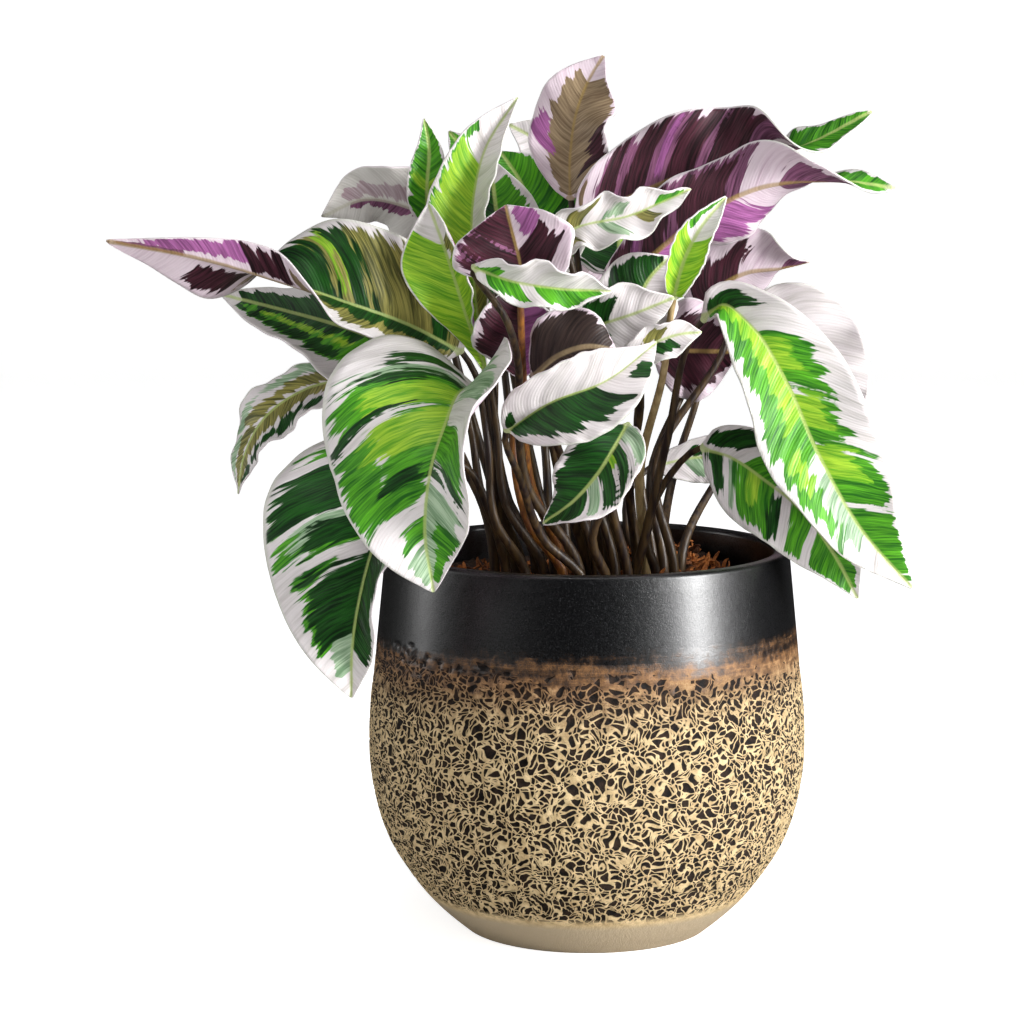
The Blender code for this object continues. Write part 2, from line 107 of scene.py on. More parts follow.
# Stage, in metres.
BACKDROP_RADIUS, BACKDROP_SWEEP, BACKDROP_WALL = 3.0, 1.2, 1.5
SWEEP_STEPS, SWEEP_TURN = 12, 7.5
FLOOR_GLOW = 0.7
CAMERA_PLACE, CAMERA_PITCH, CAMERA_LENS = (-0.0326, -1.231, 0.341), 7.4, 100.7

# Each light: its place, what it faces, its size, its setting, the share of that setting that it takes, and
# whether it shines on gloss.
LIGHTS = {
    "key softbox": ((1.62, -0.95, 1.15), (0, 0, 0.3), (0.6, 1.4), "key_watts", 1, True),
    "right strip": ((1.3, -0.76, 0.42), (0, 0, 0.12), (0.34, 0.8), "strip_watts", 1, True),
    "left strip": ((-1.5, 0.25, 0.45), (0, 0, 0.15), (0.3, 0.8), "strip_watts", 0.14, True),
    "fill softbox": ((-1.9, -1.5, 1.1), (0, 0, 0.2), (1.0, 1.3), "fill_watts", 1, True),
    "front softbox": ((-0.4, -2.1, 1.7), (0, 0, 0.2), (1.4, 1.0), "front_watts", 1, False),
    "low softbox": ((0.25, -1.9, 0.3), (0, 0, 0.05), (1.2, 0.5), "low_watts", 1, False),
    "top softbox": ((0.1, -0.3, 2.3), (0, 0, 0.2), (1.6, 1.6), "top_watts", 1, True),
}

# The way a leaf's angles are read from: as seen from the front, from above the front, or from the sky.
FRONT = (0, -1, 0)
ABOVE = (0, -0.6, 0.8)
SKY = (0, 0, 1)

# Paint on a leaf, in the order of the channels that carry it; what has none of them stays white.
PAINTS = ("green", "sage", "lime", "dark")


@dataclass
class Leaf:
    """One leaf. half, ruffle (height, waves) and curl hold left and right values, left being left of travel.

    stalk holds points from the mulch to the blade. blade holds points from its base to its tip, each with
    the angles round the midrib, in degrees, at which the left and the right half lie: 0 is left of travel
    and 90 faces the viewer that `seen` names. A point without angles has those of the point before it.

    left, right and both hold the markings of those halves, by paint: the stations along the midrib at which
    the patch's lateral veins start and end, and the shares of the half width from and to which it reaches.
    """

    name: str
    seen: tuple
    half: tuple
    widest: float
    ruffle: tuple
    curl: tuple
    root: tuple
    stalk: list
    blade: list
    left: dict = field(default_factory=dict)
    right: dict = field(default_factory=dict)
    both: dict = field(default_factory=dict)
    back: str = "plum"
    stem: str = "olive"

    def __post_init__(self):
        for number, point in enumerate(self.blade):
            if len(point) == 3:
                self.blade[number] = (*point, *self.blade[number - 1][3:])

    def patches(self, side, paint):
        """The patches of a paint on one half, side 0 the left and 1 the right."""
        return [*(self.left, self.right)[side].get(paint, ()), *self.both.get(paint, ())]


LEAVES = [
    Leaf("leaf_front_big", ABOVE, (36, 50), 0.4, (3.5, 2.5), (20, -25), (-26, -20),
         [(-40, -30, 182), (-43, -34, 216)],
         [(-47, -36, 238, 55, 150), (-54, -60, 238, 55, 155), (-59, -86, 228, 55, 175),
          (-65, -103, 209, 55, 188), (-67, -106, 186, 40, 180), (-64, -100, 162, 30, 170)],
         left={"sage": [(0.08, 0.3, 0.1, 0.7), (0.63, 0.95, 0, 0.75)],
               "green": [(0.42, 0.56, 0, 0.85), (0.74, 0.96, 0.25, 0.8)],
               "dark": [(0.57, 0.62, 0, 0.8)]},
         right={"dark": [(0.02, 0.09, 0.2, 0.72), (0.13, 0.17, 0, 0.9), (0.28, 0.32, 0.4, 0.95),
                         (0.56, 0.61, 0.05, 0.5)],
                "sage": [(0.09, 0.13, 0, 0.8), (0.51, 0.57, 0, 0.55), (0.84, 0.97, 0, 0.6)],
                "green": [(0.13, 0.31, 0, 0.93), (0.32, 0.62, 0, 0.5), (0.36, 0.66, 0.4, 0.96),
                          (0.6, 0.7, 0.05, 0.5), (0.74, 0.82, 0.0, 0.45)],
                "lime": [(0.19, 0.3, 0, 0.7), (0.33, 0.5, 0, 0.6)]}),
    Leaf("leaf_left_broad", ABOVE, (26, 48), 0.42, (3, 2), (10, -20), (-35, -12),
         [(-41, -18, 180), (-53, -24, 204)],
         [(-66, -34, 207, 20, 165), (-78, -58, 201, 30, 170), (-86, -78, 185, 45, 178),
          (-93, -86, 161, 55, 178), (-97, -87, 138, 45, 172), (-98, -85, 116, 35, 165)],
         left={"sage": [(0.36, 0.45, 0, 0.6), (0.42, 0.5, 0.5, 0.85)],
               "dark": [(0.48, 0.84, 0, 0.85)],
               "green": [(0.5, 0.8, 0.4, 0.85)]},
         right={"green": [(-0.02, 0.04, 0, 0.9), (0.12, 0.42, 0.72, 0.98), (0.38, 0.46, 0.05, 0.62),
                          (0.5, 0.8, 0.35, 0.7)],
                "dark": [(0.08, 0.31, 0, 0.97), (0.36, 0.44, 0, 0.6), (0.52, 0.78, 0, 0.62)],
                "sage": [(0.3, 0.43, 0, 0.84), (0.7, 0.92, 0, 0.5)]}),
    Leaf("leaf_left_narrow", FRONT, (19, 19), 0.45, (2, 3), (10, 10), (-40, 2),
         [(-46, 2, 186), (-72, 4, 221)],
         [(-103, 4, 239, 60, 235), (-122, 2, 234), (-140, 0, 221), (-148, 0, 206, 65, 240), (-151, 0, 189)],
         left={"olive": [(-0.2, 0.95, 0, 0.4)], "dark": [(-0.1, 0.9, 0.5, 0.85)]},
         right={"olive": [(-0.2, 0.95, 0.1, 0.55)], "sage": [(0, 0.9, 0.6, 0.9)]}),
    Leaf("leaf_left_under", FRONT, (28, 20), 0.45, (4, 2), (25, 0), (-30, -4),
         [(-45, -8, 187), (-51, -10, 222)],
         [(-58, -8, 244, 45, 215), (-78, -14, 252, 45, 218), (-103, -18, 262, 45, 222),
          (-131, -20, 270, 55, 222), (-155, -20, 276, 60, 220)],
         left={"green": [(-0.2, 0.9, 0, 0.7)],
               "dark": [(-0.2, 0.9, 0, 0.18), (-0.2, 0.9, 0.38, 0.64)],
               "lime": [(0, 0.8, 0.14, 0.32)]},
         right={"dark": [(0.1, 0.9, 0, 0.7)]}),
    Leaf("leaf_far_left", FRONT, (15, 33), 0.38, (3.5, 2.5), (10, -10), (-28, 8),
         [(-39, 4, 186), (-42, 2, 221)],
         [(-54, -8, 251, 35, 180), (-78, -30, 265, 40, 180), (-104, -44, 275, 70, 190),
          (-127, -50, 283, 125, 245), (-161, -52, 293, 165, 320), (-199, -52, 300, 160, 330)],
         left={"olive": [(0, 0.5, 0, 0.7)],
               "dark": [(0, 0.45, 0, 0.4), (0.52, 0.62, 0.1, 0.9)],
               "lime": [(0.62, 0.9, 0.3, 0.9)],
               "green": [(0.8, 0.98, 0, 0.5)]},
         right={"olive": [(-0.2, 0.55, 0, 0.88)],
                "dark": [(-0.2, 0.02, 0, 0.8), (0.06, 0.12, 0, 0.86), (0.3, 0.36, 0, 0.9),
                         (0.4, 0.52, 0, 0.9), (0.6, 0.75, 0.2, 0.8)],
                "lime": [(0.34, 0.38, 0.1, 0.9)]}),
    Leaf("leaf_left_back", FRONT, (17, 15), 0.45, (4, 2.5), (10, 10), (-22, 22),
         [(-38, 26, 192), (-42, 34, 258)],
         [(-55, 40, 299, 165, 330), (-77, 50, 311, 160, 330), (-98, 56, 315), (-118, 60, 307, 165, 335)],
         left={"sage": [(0.1, 0.8, 0.1, 0.5)]},
         right={"green": [(0.3, 0.8, 0, 0.3)]}, back="ash"),
    Leaf("leaf_small_upright", FRONT, (8, 8), 0.36, (0.6, 2), (10, 10), (-31, 16),
         [(-42, 14, 193), (-60, 12, 259)],
         [(-69, 8, 306, 20, 160), (-69, 4, 322), (-68, 2, 337), (-70, 0, 350, 30, 150)],
         left={"lime": [(0.3, 0.4, 0, 0.8)]},
         right={"lime": [(0.1, 0.4, 0.1, 0.7)]},
         both={"green": [(-0.3, 1, 0, 0.93)]}),
    Leaf("leaf_rolled", FRONT, (20, 14), 0.7, (1.5, 2), (40, 60), (-18, -12),
         [(-36, -12, 188), (-39, -14, 218)],
         [(-43, -20, 243, 0, 110), (-52, -35, 270), (-60, -43, 296, 5, 110), (-67, -43, 315, 20, 120)],
         left={"lime": [(-0.3, 0.78, 0, 1.2)]},
         right={"lime": [(-0.1, 0.7, 0, 1.2)], "olive": [(0.2, 0.8, 0.1, 0.7)]}),
    Leaf("leaf_tall_left", FRONT, (21, 16), 0.45, (1.5, 2), (20, 30), (-20, 0),
         [(-34, 0, 186), (-41, -4, 222)],
         [(-46, 0, 256, 25, 115), (-49, 2, 286), (-49, 4, 315), (-44, 4, 337, 30, 120),
          (-30, 4, 359, 30, 130)],
         left={"lime": [(-0.3, 0.7, 0, 0.9)],
               "olive": [(0.3, 0.36, 0, 0.8)],
               "green": [(0.3, 0.75, 0.7, 0.98)]},
         right={"olive": [(0, 0.25, 0, 1.2)]}),
    Leaf("leaf_top", FRONT, (19, 19), 0.5, (3.5, 2.5), (10, 15), (6, 16),
         [(2, 16, 193), (-2, 16, 272)],
         [(-7, 16, 315, 140, 345), (-7, 18, 335), (-4, 20, 354), (1, 21, 367, 150, 350),
          (7, 21, 377, 160, 350)],
         left={"olive": [(-0.2, 0.8, 0, 0.9)], "dark": [(0.1, 0.3, 0.5, 0.95)]},
         right={"olive": [(-0.2, 0.8, 0, 0.62)], "lime": [(0.2, 0.4, 0.5, 0.9)]}),
    Leaf("leaf_back_green", FRONT, (26, 26), 0.45, (2.5, 2), (10, 10), (-8, 30),
         [(-11, 36, 191), (-16, 42, 244)],
         [(-18, 48, 275, 20, 165), (-23, 52, 301), (-28, 54, 321), (-38, 54, 336)],
         left={"dark": [(0.1, 0.3, 0, 0.7)], "lime": [(0.5, 0.6, 0, 0.8)]},
         right={"dark": [(0.2, 0.4, 0, 0.8)]},
         both={"green": [(-0.3, 1, 0, 0.93)]}),
    Leaf("leaf_back_dark", FRONT, (15, 18), 0.5, (1.5, 2), (10, 10), (-14, 18),
         [(-22, 20, 193), (-33, 24, 245)],
         [(-37, 26, 276, 10, 170), (-38, 27, 298), (-40, 27, 315), (-42, 26, 333)],
         left={"dark": [(0.05, 0.9, 0, 0.6)]},
         right={"dark": [(0, 0.3, 0, 0.9)], "green": [(0.35, 0.8, 0, 0.8)]}),
    Leaf("leaf_back_pale", FRONT, (15, 15), 0.45, (2, 2), (10, 10), (2, 38),
         [(-2, 50, 189), (-6, 62, 260)],
         [(-10, 70, 301, 10, 170), (-14, 73, 323), (-21, 74, 340), (-34, 74, 348, 15, 165)],
         left={"sage": [(0.2, 0.5, 0.1, 0.7)]},
         right={"sage": [(0.5, 0.6, 0, 0.6)]}),
    Leaf("leaf_back_left", FRONT, (14, 14), 0.45, (1.5, 2), (10, 10), (-20, 36),
         [(-29, 50, 189), (-38, 60, 256)],
         [(-42, 66, 292, 15, 165), (-47, 69, 314), (-53, 70, 334), (-61, 70, 345)],
         left={"sage": [(0.1, 0.3, 0, 0.8)]},
         both={"green": [(0.5, 1, 0, 0.8)]}),
    Leaf("leaf_long_right", FRONT, (22, 25), 0.4, (4.5, 3), (10, 10), (16, 10),
         [(6, 8, 194), (1, 2, 260)],
         [(-6, -2, 305, 225, 340), (16, -2, 316, 225, 345), (43, -2, 327, 225, 352),
          (69, -3, 333, 235, 362), (90, -5, 338, 290, 440), (120, -5, 353, 345, 520)],
         left={"dark": [(0.1, 0.2, 0, 0.6)], "sage": [(0.3, 0.6, 0, 0.5)]},
         right={"olive": [(-0.06, 0.02, 0.1, 0.8)],
                "green": [(0.05, 0.62, 0, 0.97)],
                "dark": [(0.07, 0.13, 0, 0.97), (0.16, 0.25, 0, 0.97), (0.31, 0.41, 0, 0.97),
                         (0.45, 0.56, 0, 0.97)],
                "lime": [(0.27, 0.29, 0.2, 0.9)]},
         both={"green": [(0.66, 0.98, 0, 0.88)]}),
    Leaf("leaf_second_right", FRONT, (22, 21), 0.42, (3.5, 3), (10, 10), (10, 0),
         [(5, -2, 195), (5, -8, 235)],
         [(6, -14, 274, 235, 325), (26, -17, 292), (47, -20, 309, 232, 330), (71, -22, 321, 225, 340),
          (100, -23, 324, 290, 440), (128, -23, 321, 340, 510)],
         left={"lime": [(-0.1, 0.5, 0, 0.85)], "green": [(0.12, 0.4, 0.3, 0.8)]},
         right={"green": [(-0.1, 0.52, 0, 0.95)],
                "dark": [(-0.05, 0.1, 0, 0.9), (0.16, 0.26, 0, 0.9), (0.31, 0.48, 0, 0.85)],
                "lime": [(0.12, 0.14, 0.1, 0.9)]},
         both={"green": [(0.64, 0.97, 0, 0.8)]}),
    Leaf("leaf_white_ruffled", FRONT, (12, 12), 0.5, (3, 4), (10, 10), (0, -6),
         [(-12, -16, 197), (-21, -34, 262)],
         [(-19, -42, 291, 40, 140), (-8, -46, 304), (15, -48, 310), (41, -46, 321, 45, 135)],
         left={"olive": [(0.2, 0.3, 0.1, 0.9)],
               "sage": [(0.45, 0.55, 0.1, 0.8)],
               "green": [(0.75, 0.95, 0, 0.7)]},
         right={"olive": [(0.1, 0.2, 0.1, 0.8), (0.62, 0.7, 0, 0.7)], "sage": [(0.4, 0.5, 0.1, 0.8)]}),
    Leaf("leaf_spear", FRONT, (9, 9), 0.45, (0.8, 2), (60, 60), (26, -2),
         [(22, -12, 197), (31, -36, 246)],
         [(34, -48, 276, 40, 140), (38, -52, 292), (45, -53, 306), (55, -52, 318)],
         left={"olive": [(-0.2, 0.3, 0.5, 1.2)], "green": [(0.55, 0.98, 0.4, 1.2)]},
         both={"lime": [(-0.2, 0.52, 0, 1.2)]}, stem="tan"),
    Leaf("leaf_striped", FRONT, (19, 16), 0.45, (2, 2.5), (15, 15), (22, 4),
         [(18, -6, 196), (22, -22, 232)],
         [(19, -34, 256, 15, 165), (19, -37, 270), (24, -38, 283), (33, -37, 293, 20, 160)],
         left={"dark": [(-0.2, 0.9, 0, 0.84)], "olive": [(0.05, 0.1, 0.1, 0.8), (0.3, 0.36, 0.1, 0.8)]},
         right={"dark": [(0.1, 0.3, 0, 0.7)], "sage": [(0.4, 0.5, 0, 0.7)]}),
    Leaf("leaf_right_small", FRONT, (20, 20), 0.45, (2.5, 3), (10, 10), (34, 8),
         [(28, 16, 193), (46, 24, 241)],
         [(51, 28, 263, 230, 340), (58, 30, 276), (70, 31, 283, 230, 345), (85, 31, 285, 260, 380),
          (98, 30, 288, 300, 440)],
         left={"sage": [(0.1, 0.4, 0.2, 0.8)]},
         right={"dark": [(0.05, 0.45, 0, 0.6)]},
         both={"green": [(0.76, 0.97, 0, 0.85)]}),
    Leaf("leaf_droop_right", FRONT, (26, 22), 0.5, (3, 3), (-10, 15), (20, -14),
         [(24, -18, 171), (33, -26, 215)],
         [(47, -34, 266, 20, 100), (55, -40, 273, 15, 120), (66, -46, 265, 15, 140),
          (80, -52, 243, 12, 155), (94, -56, 212), (112, -58, 181), (133, -58, 157, 12, 160)],
         left={"dark": [(-0.05, 0.11, 0, 0.72)],
               "green": [(0.2, 0.36, 0, 0.6), (0.38, 0.52, 0, 0.58), (0.54, 0.7, 0, 0.8),
                         (0.72, 0.97, 0, 0.9)],
               "lime": [(0.22, 0.32, 0, 0.35), (0.38, 0.48, 0, 0.4), (0.54, 0.62, 0, 0.5)]},
         right={"green": [(0.0, 0.56, 0, 0.8), (0.56, 0.72, 0.35, 0.85)],
                "lime": [(0.0, 0.45, 0, 0.36), (0.5, 0.6, 0.3, 0.6)],
                "sage": [(0.6, 0.8, 0, 0.5)]}),
    Leaf("leaf_low_right", FRONT, (21, 21), 0.42, (2.5, 2.5), (-10, 5), (30, -10),
         [(25, -12, 171), (34, -12, 197)],
         [(48, -18, 211, 30, 168), (60, -26, 208, 30, 165), (74, -34, 199, 25, 165),
          (89, -42, 187, 20, 168), (101, -46, 171, 20, 170), (112, -48, 151)],
         left={"dark": [(0.0, 0.14, 0.3, 0.85)],
               "green": [(0.2, 0.4, 0, 0.7), (0.48, 0.62, 0, 0.8), (0.7, 0.95, 0, 0.6)],
               "lime": [(0.44, 0.5, 0, 0.7)]},
         right={"dark": [(0.0, 0.12, 0, 0.9), (0.38, 0.44, 0.1, 0.9)],
                "sage": [(0.13, 0.17, 0.1, 0.9)],
                "green": [(0.18, 0.4, 0, 0.9), (0.5, 0.62, 0, 0.9), (0.66, 0.95, 0, 0.9)],
                "lime": [(0.25, 0.32, 0, 0.5)]}),
    Leaf("leaf_white_right", FRONT, (20, 24), 0.45, (2.5, 3), (0, 0), (38, -2),
         [(29, 2, 199), (57, 6, 247)],
         [(69, 8, 270, 10, 170), (90, 8, 262), (105, 8, 242), (118, 6, 217)],
         left={"green": [(0.8, 0.95, 0.2, 0.6)]}),
    Leaf("leaf_dark_right", FRONT, (22, 22), 0.45, (2.5, 2.5), (10, 10), (30, 20),
         [(24, 24, 192), (23, 20, 228)],
         [(28, 16, 249, 190, 350), (41, 14, 250), (54, 12, 250), (66, 10, 250, 195, 345)],
         left={"dark": [(0.0, 0.9, 0, 0.75)]},
         right={"dark": [(0.05, 0.8, 0, 0.7)]}),
    Leaf("leaf_low_back", FRONT, (10, 12), 0.45, (1.5, 2.5), (10, 10), (24, 34),
         [(19, 38, 168), (20, 40, 186)],
         [(30, 44, 196, 30, 150), (52, 46, 200), (74, 47, 197), (96, 47, 198)],
         left={"dark": [(0.2, 0.8, 0.1, 0.7)]},
         right={"sage": [(0.2, 0.6, 0, 0.7)]}),
    Leaf("leaf_purple_wave", FRONT, (24, 26), 0.55, (3, 3), (15, 15), (-10, -8),
         [(-25, -26, 198), (-28, -50, 243)],
         [(-29, -70, 278, 160, 365), (-29, -73, 290), (-32, -74, 303), (-35, -72, 315)],
         left={"dark": [(0.1, 0.5, 0, 0.7)], "lime": [(0.5, 0.9, 0.2, 0.9)]},
         right={"green": [(-0.3, 1, 0, 0.93)],
                "dark": [(-0.3, 0.14, 0, 0.9), (0.2, 0.44, 0, 0.9), (0.5, 0.95, 0, 0.85)]}, stem="rust"),
    Leaf("leaf_curl", FRONT, (13, 9), 0.5, (2.5, 3), (20, 20), (-3, -21),
         [(-27, -42, 200), (-30, -52, 226), (-30, -68, 250), (-35, -84, 270)],
         [(-48, -94, 291, 50, 150), (-33, -98, 286), (-14, -99, 283), (7, -96, 282, 55, 150)],
         left={"green": [(0.0, 0.2, 0, 0.5)]},
         right={"green": [(0.1, 0.35, 0, 0.8), (0.45, 0.9, 0, 0.85)]}),
    Leaf("leaf_purple_v", FRONT, (22, 22), 0.6, (2, 2), (10, 10), (-10, -20),
         [(-26, -28, 181), (-32, -34, 216)],
         [(-29, -34, 242, 150, 388), (-29, -40, 256, 150, 390), (-30, -47, 271), (-29, -53, 283)],
         left={"lime": [(-0.3, 1, 0, 0.9)], "green": [(0.3, 0.8, 0.1, 0.5)]},
         right={"dark": [(-0.3, 0.9, 0, 0.9)]}, stem="rust"),
    Leaf("leaf_centre", FRONT, (20, 20), 0.5, (2, 2), (-10, -10), (-2, -30),
         [(-19, -38, 174), (-29, -58, 202)],
         [(-35, -74, 224, 55, 150), (-17, -88, 237, 45, 150), (5, -92, 246), (25, -88, 261, 55, 145)],
         left={"dark": [(0.0, 0.1, 0.1, 0.7)]},
         right={"dark": [(0.02, 0.6, 0, 0.72), (0.72, 0.85, 0.3, 0.9)], "green": [(0.2, 0.5, 0.05, 0.5)]}),
    Leaf("leaf_centre_dark", FRONT, (14, 18), 0.5, (2, 2.5), (10, 10), (4, -14),
         [(-7, -24, 194), (-16, -44, 221)],
         [(-24, -62, 245, 200, 335), (-14, -68, 254), (-2, -70, 258), (10, -68, 256)],
         left={"dark": [(0, 0.9, 0, 0.8)]},
         right={"dark": [(-0.2, 0.9, 0, 0.88)]}, back="umber"),
    Leaf("leaf_centre_pink", FRONT, (17, 13), 0.5, (2.5, 3), (10, 10), (12, -16),
         [(1, -20, 197), (-6, -24, 232)],
         [(-12, -36, 256, 30, 150), (4, -45, 265), (20, -51, 271), (34, -53, 277)],
         left={"dark": [(0.1, 0.45, 0, 0.7)], "olive": [(0.1, 0.45, 0.2, 0.5)]},
         right={"dark": [(0.1, 0.4, 0, 0.6)]}),
    Leaf("leaf_mid_right", FRONT, (8, 9), 0.5, (1.5, 2.5), (10, 10), (17, -26),
         [(9, -38, 191), (11, -50, 234)],
         [(13, -56, 254, 35, 145), (24, -58, 258), (35, -59, 262), (45, -58, 263)],
         left={"olive": [(0.2, 0.5, 0.1, 0.7)]},
         right={"dark": [(0.3, 0.6, 0.1, 0.7)]}),
    Leaf("leaf_hanging", ABOVE, (17, 17), 0.5, (2, 2.5), (0, 0), (8, -30),
         [(1, -40, 174), (13, -50, 205)],
         [(15, -60, 225, 20, 165), (10, -70, 218, 15, 165), (2, -76, 206, 10, 170), (-8, -78, 195),
          (-20, -76, 186, 15, 165)],
         left={"sage": [(-0.2, 0.16, 0, 0.9), (0.5, 0.6, 0, 0.8)],
               "dark": [(0.2, 0.3, 0, 0.9), (0.36, 0.48, 0, 0.9), (0.6, 0.98, 0, 0.9)],
               "lime": [(0.2, 0.4, 0, 0.3)]},
         right={"dark": [(-0.1, 0.98, 0, 0.85)], "lime": [(0.02, 0.3, 0, 0.5)]}),
    Leaf("leaf_rear_left", SKY, (28, 28), 0.45, (2.5, 2.5), (10, 10), (-16, 44),
         [(-22, 56, 230)],
         [(-32, 66, 262, -10, 190), (-46, 92, 278), (-60, 118, 268), (-70, 142, 240)],
         left={"green": [(0.05, 0.3, 0, 0.9), (0.5, 0.8, 0, 0.8)], "dark": [(0.1, 0.2, 0, 0.8)]},
         right={"sage": [(0.1, 0.3, 0, 0.8)], "green": [(0.3, 0.7, 0, 0.9)], "lime": [(0.4, 0.5, 0, 0.5)]}),
    Leaf("leaf_rear_mid", SKY, (30, 30), 0.45, (2.5, 2.5), (10, 10), (10, 42),
         [(14, 54, 240)],
         [(16, 62, 280, -15, 195), (16, 90, 300), (14, 120, 292), (12, 150, 262)],
         left={"dark": [(0.0, 0.5, 0, 0.9)],
               "green": [(0.15, 0.35, 0, 0.7)],
               "sage": [(0.55, 0.7, 0, 0.7)]},
         right={"green": [(0.15, 0.45, 0, 0.8)],
                "lime": [(0.2, 0.3, 0, 0.5)],
                "dark": [(0.6, 0.9, 0, 0.8)]}),
    Leaf("leaf_rear_right", SKY, (28, 28), 0.45, (2.5, 2.5), (10, 10), (34, 32),
         [(42, 62, 195), (52, 62, 228)],
         [(56, 66, 248, -10, 190), (74, 84, 262), (92, 110, 252), (108, 134, 222)],
         left={"green": [(0.1, 0.25, 0, 0.8)], "dark": [(0.35, 0.7, 0, 0.9)]},
         right={"green": [(0.0, 0.6, 0, 0.9)],
                "lime": [(0.1, 0.4, 0, 0.5)],
                "sage": [(0.65, 0.85, 0, 0.8)]}),
    Leaf("leaf_rear_low_left", SKY, (26, 26), 0.45, (2.5, 2.5), (10, 10), (-34, 30),
         [(-50, 46, 190)],
         [(-62, 58, 212, -10, 190), (-78, 80, 218), (-94, 100, 202), (-106, 118, 172)],
         left={"green": [(0.05, 0.9, 0, 0.85)], "dark": [(0.3, 0.5, 0.1, 0.9)]},
         right={"green": [(0.2, 0.35, 0, 0.9)],
                "sage": [(0.4, 0.6, 0, 0.7)],
                "dark": [(0.7, 0.9, 0, 0.8)]}),
    Leaf("leaf_rear_low_right", SKY, (26, 26), 0.45, (2.5, 2.5), (10, 10), (42, 22),
         [(60, 50, 190)],
         [(72, 64, 206, -10, 190), (90, 88, 210), (106, 110, 192), (118, 128, 160)],
         left={"sage": [(0.0, 0.2, 0, 0.8)],
               "green": [(0.25, 0.6, 0, 0.9)],
               "lime": [(0.3, 0.45, 0, 0.5)]},
         right={"dark": [(0.1, 0.5, 0, 0.85)], "green": [(0.6, 0.95, 0, 0.8)]}),
]


# Leaf surfaces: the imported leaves' own functions, read at a finer spacing.


def unit(rows):
    return rows / np.linalg.norm(rows, axis=-1, keepdims=True)


def knots_of(rows):
    """Each row's share of the length along its points, from 0 to 1."""
    gaps = np.linalg.norm(np.diff(rows[:, :3], axis=0), axis=1)
    return np.concatenate([[0], np.cumsum(gaps)]) / gaps.sum()


def spline(rows, stations):
    """The rows' columns at these stations from 0 to 1, on a smooth curve through every row."""
    rows = np.array(rows, float)
    knots = knots_of(rows)
    slopes = np.gradient(rows, knots, axis=0)
    span = np.clip(np.searchsorted(knots, stations, side="right") - 1, 0, len(knots) - 2)
    length = (knots[span + 1] - knots[span])[:, None]
    t = (stations - knots[span])[:, None] / length
    start, end = rows[span], rows[span + 1]
    return (
        (2 * t**3 - 3 * t**2 + 1) * start
        + (t**3 - 2 * t**2 + t) * length * slopes[span]
        + (3 * t**2 - 2 * t**3) * end
        + (t**3 - t**2) * length * slopes[span + 1]
    )


def directions(rows, stations, step=0.01):
    ahead = spline(rows, np.clip(stations + step, 0, 1))[:, :3]
    behind = spline(rows, np.clip(stations - step, 0, 1))[:, :3]
    return unit(ahead - behind)


def blade_length(leaf):
    """The length of the midrib in mm, along its smooth curve."""
    midrib = spline(leaf.blade, np.linspace(0, 1, 101))[:, :3]
    return np.linalg.norm(np.diff(midrib, axis=0), axis=1).sum()


def half_width(leaf, side, stations):
    """A rounded base, its widest part at `widest` and a drawn-out tip, in mm."""
    rounded = np.sin(np.pi * stations ** (math.log(0.5) / math.log(leaf.widest))) ** 0.8
    drawn = 1 - 0.35 * np.clip((stations - 0.7) / 0.3, 0, 1) ** 2
    return leaf.half[side] * np.clip(rounded, 0, 1) * drawn + 1.2 * (1 - stations) + 0.4


def half_blade(leaf, side, stations, shares):
    """Points of one half of the blade, side 0 the left and 1 the right. Shares run out from the midrib."""
    path = spline(leaf.blade, stations)
    ahead = directions(leaf.blade, stations)
    leftward = unit(np.cross(leaf.seen, ahead))
    viewward = np.cross(ahead, leftward)
    turn = 1 - 2 * side
    bend = math.radians(leaf.curl[side]) * turn
    start = np.radians(path[:, 3 + side]) - bend / 2
    width = half_width(leaf, side, stations)
    height, waves = leaf.ruffle
    chance = random.Random(leaf.name)
    phase = chance.uniform(0, 1) + 0.37 * side
    wave = height * np.sin(2 * np.pi * (waves * stations + phase)) * np.sin(np.pi * stations) ** 0.6
    crimp = 0.5 * np.sin(2 * np.pi * (CRIMPS * stations + 3 * phase)) * np.sin(np.pi * stations)
    length = blade_length(leaf)
    points = []
    for share in shares:
        mid = start + bend * share / 2
        reach = width * share * np.sinc(bend * share / (2 * np.pi))
        out = np.cos(mid)[:, None] * leftward + np.sin(mid)[:, None] * viewward
        upper = turn * (np.cos(mid)[:, None] * viewward - np.sin(mid)[:, None] * leftward)
        origin = stations * length - width * share * (VEIN_LEAN + VEIN_CURVE * share)
        pleat = PLEAT_DEPTH * np.sin(2 * np.pi * origin / VEIN_SPACING) * min(1, 4 * share) * (1 - share)
        lift = wave * share**RUFFLE_POWER + crimp * share**5 + pleat
        points.append(path[:, :3] + reach[:, None] * out + lift[:, None] * upper)
    return np.stack(points, axis=1)


def blade_surface(leaf, stations, shares):
    """The blade's middle surface, a row of points from the left margin to the right one at each station."""
    left = half_blade(leaf, 0, stations, shares)[:, ::-1]
    right = half_blade(leaf, 1, stations, shares)
    midrib = spline(leaf.blade, stations)[:, None, :3]
    return np.concatenate([left, midrib, right], axis=1)


def signed_widths(leaf, stations, shares):
    """How far each point of a row lies from the midrib in mm, left being negative."""
    left = -half_width(leaf, 0, stations)[:, None] * shares[::-1]
    right = half_width(leaf, 1, stations)[:, None] * shares
    return np.concatenate([left, np.zeros((len(stations), 1)), right], axis=1)


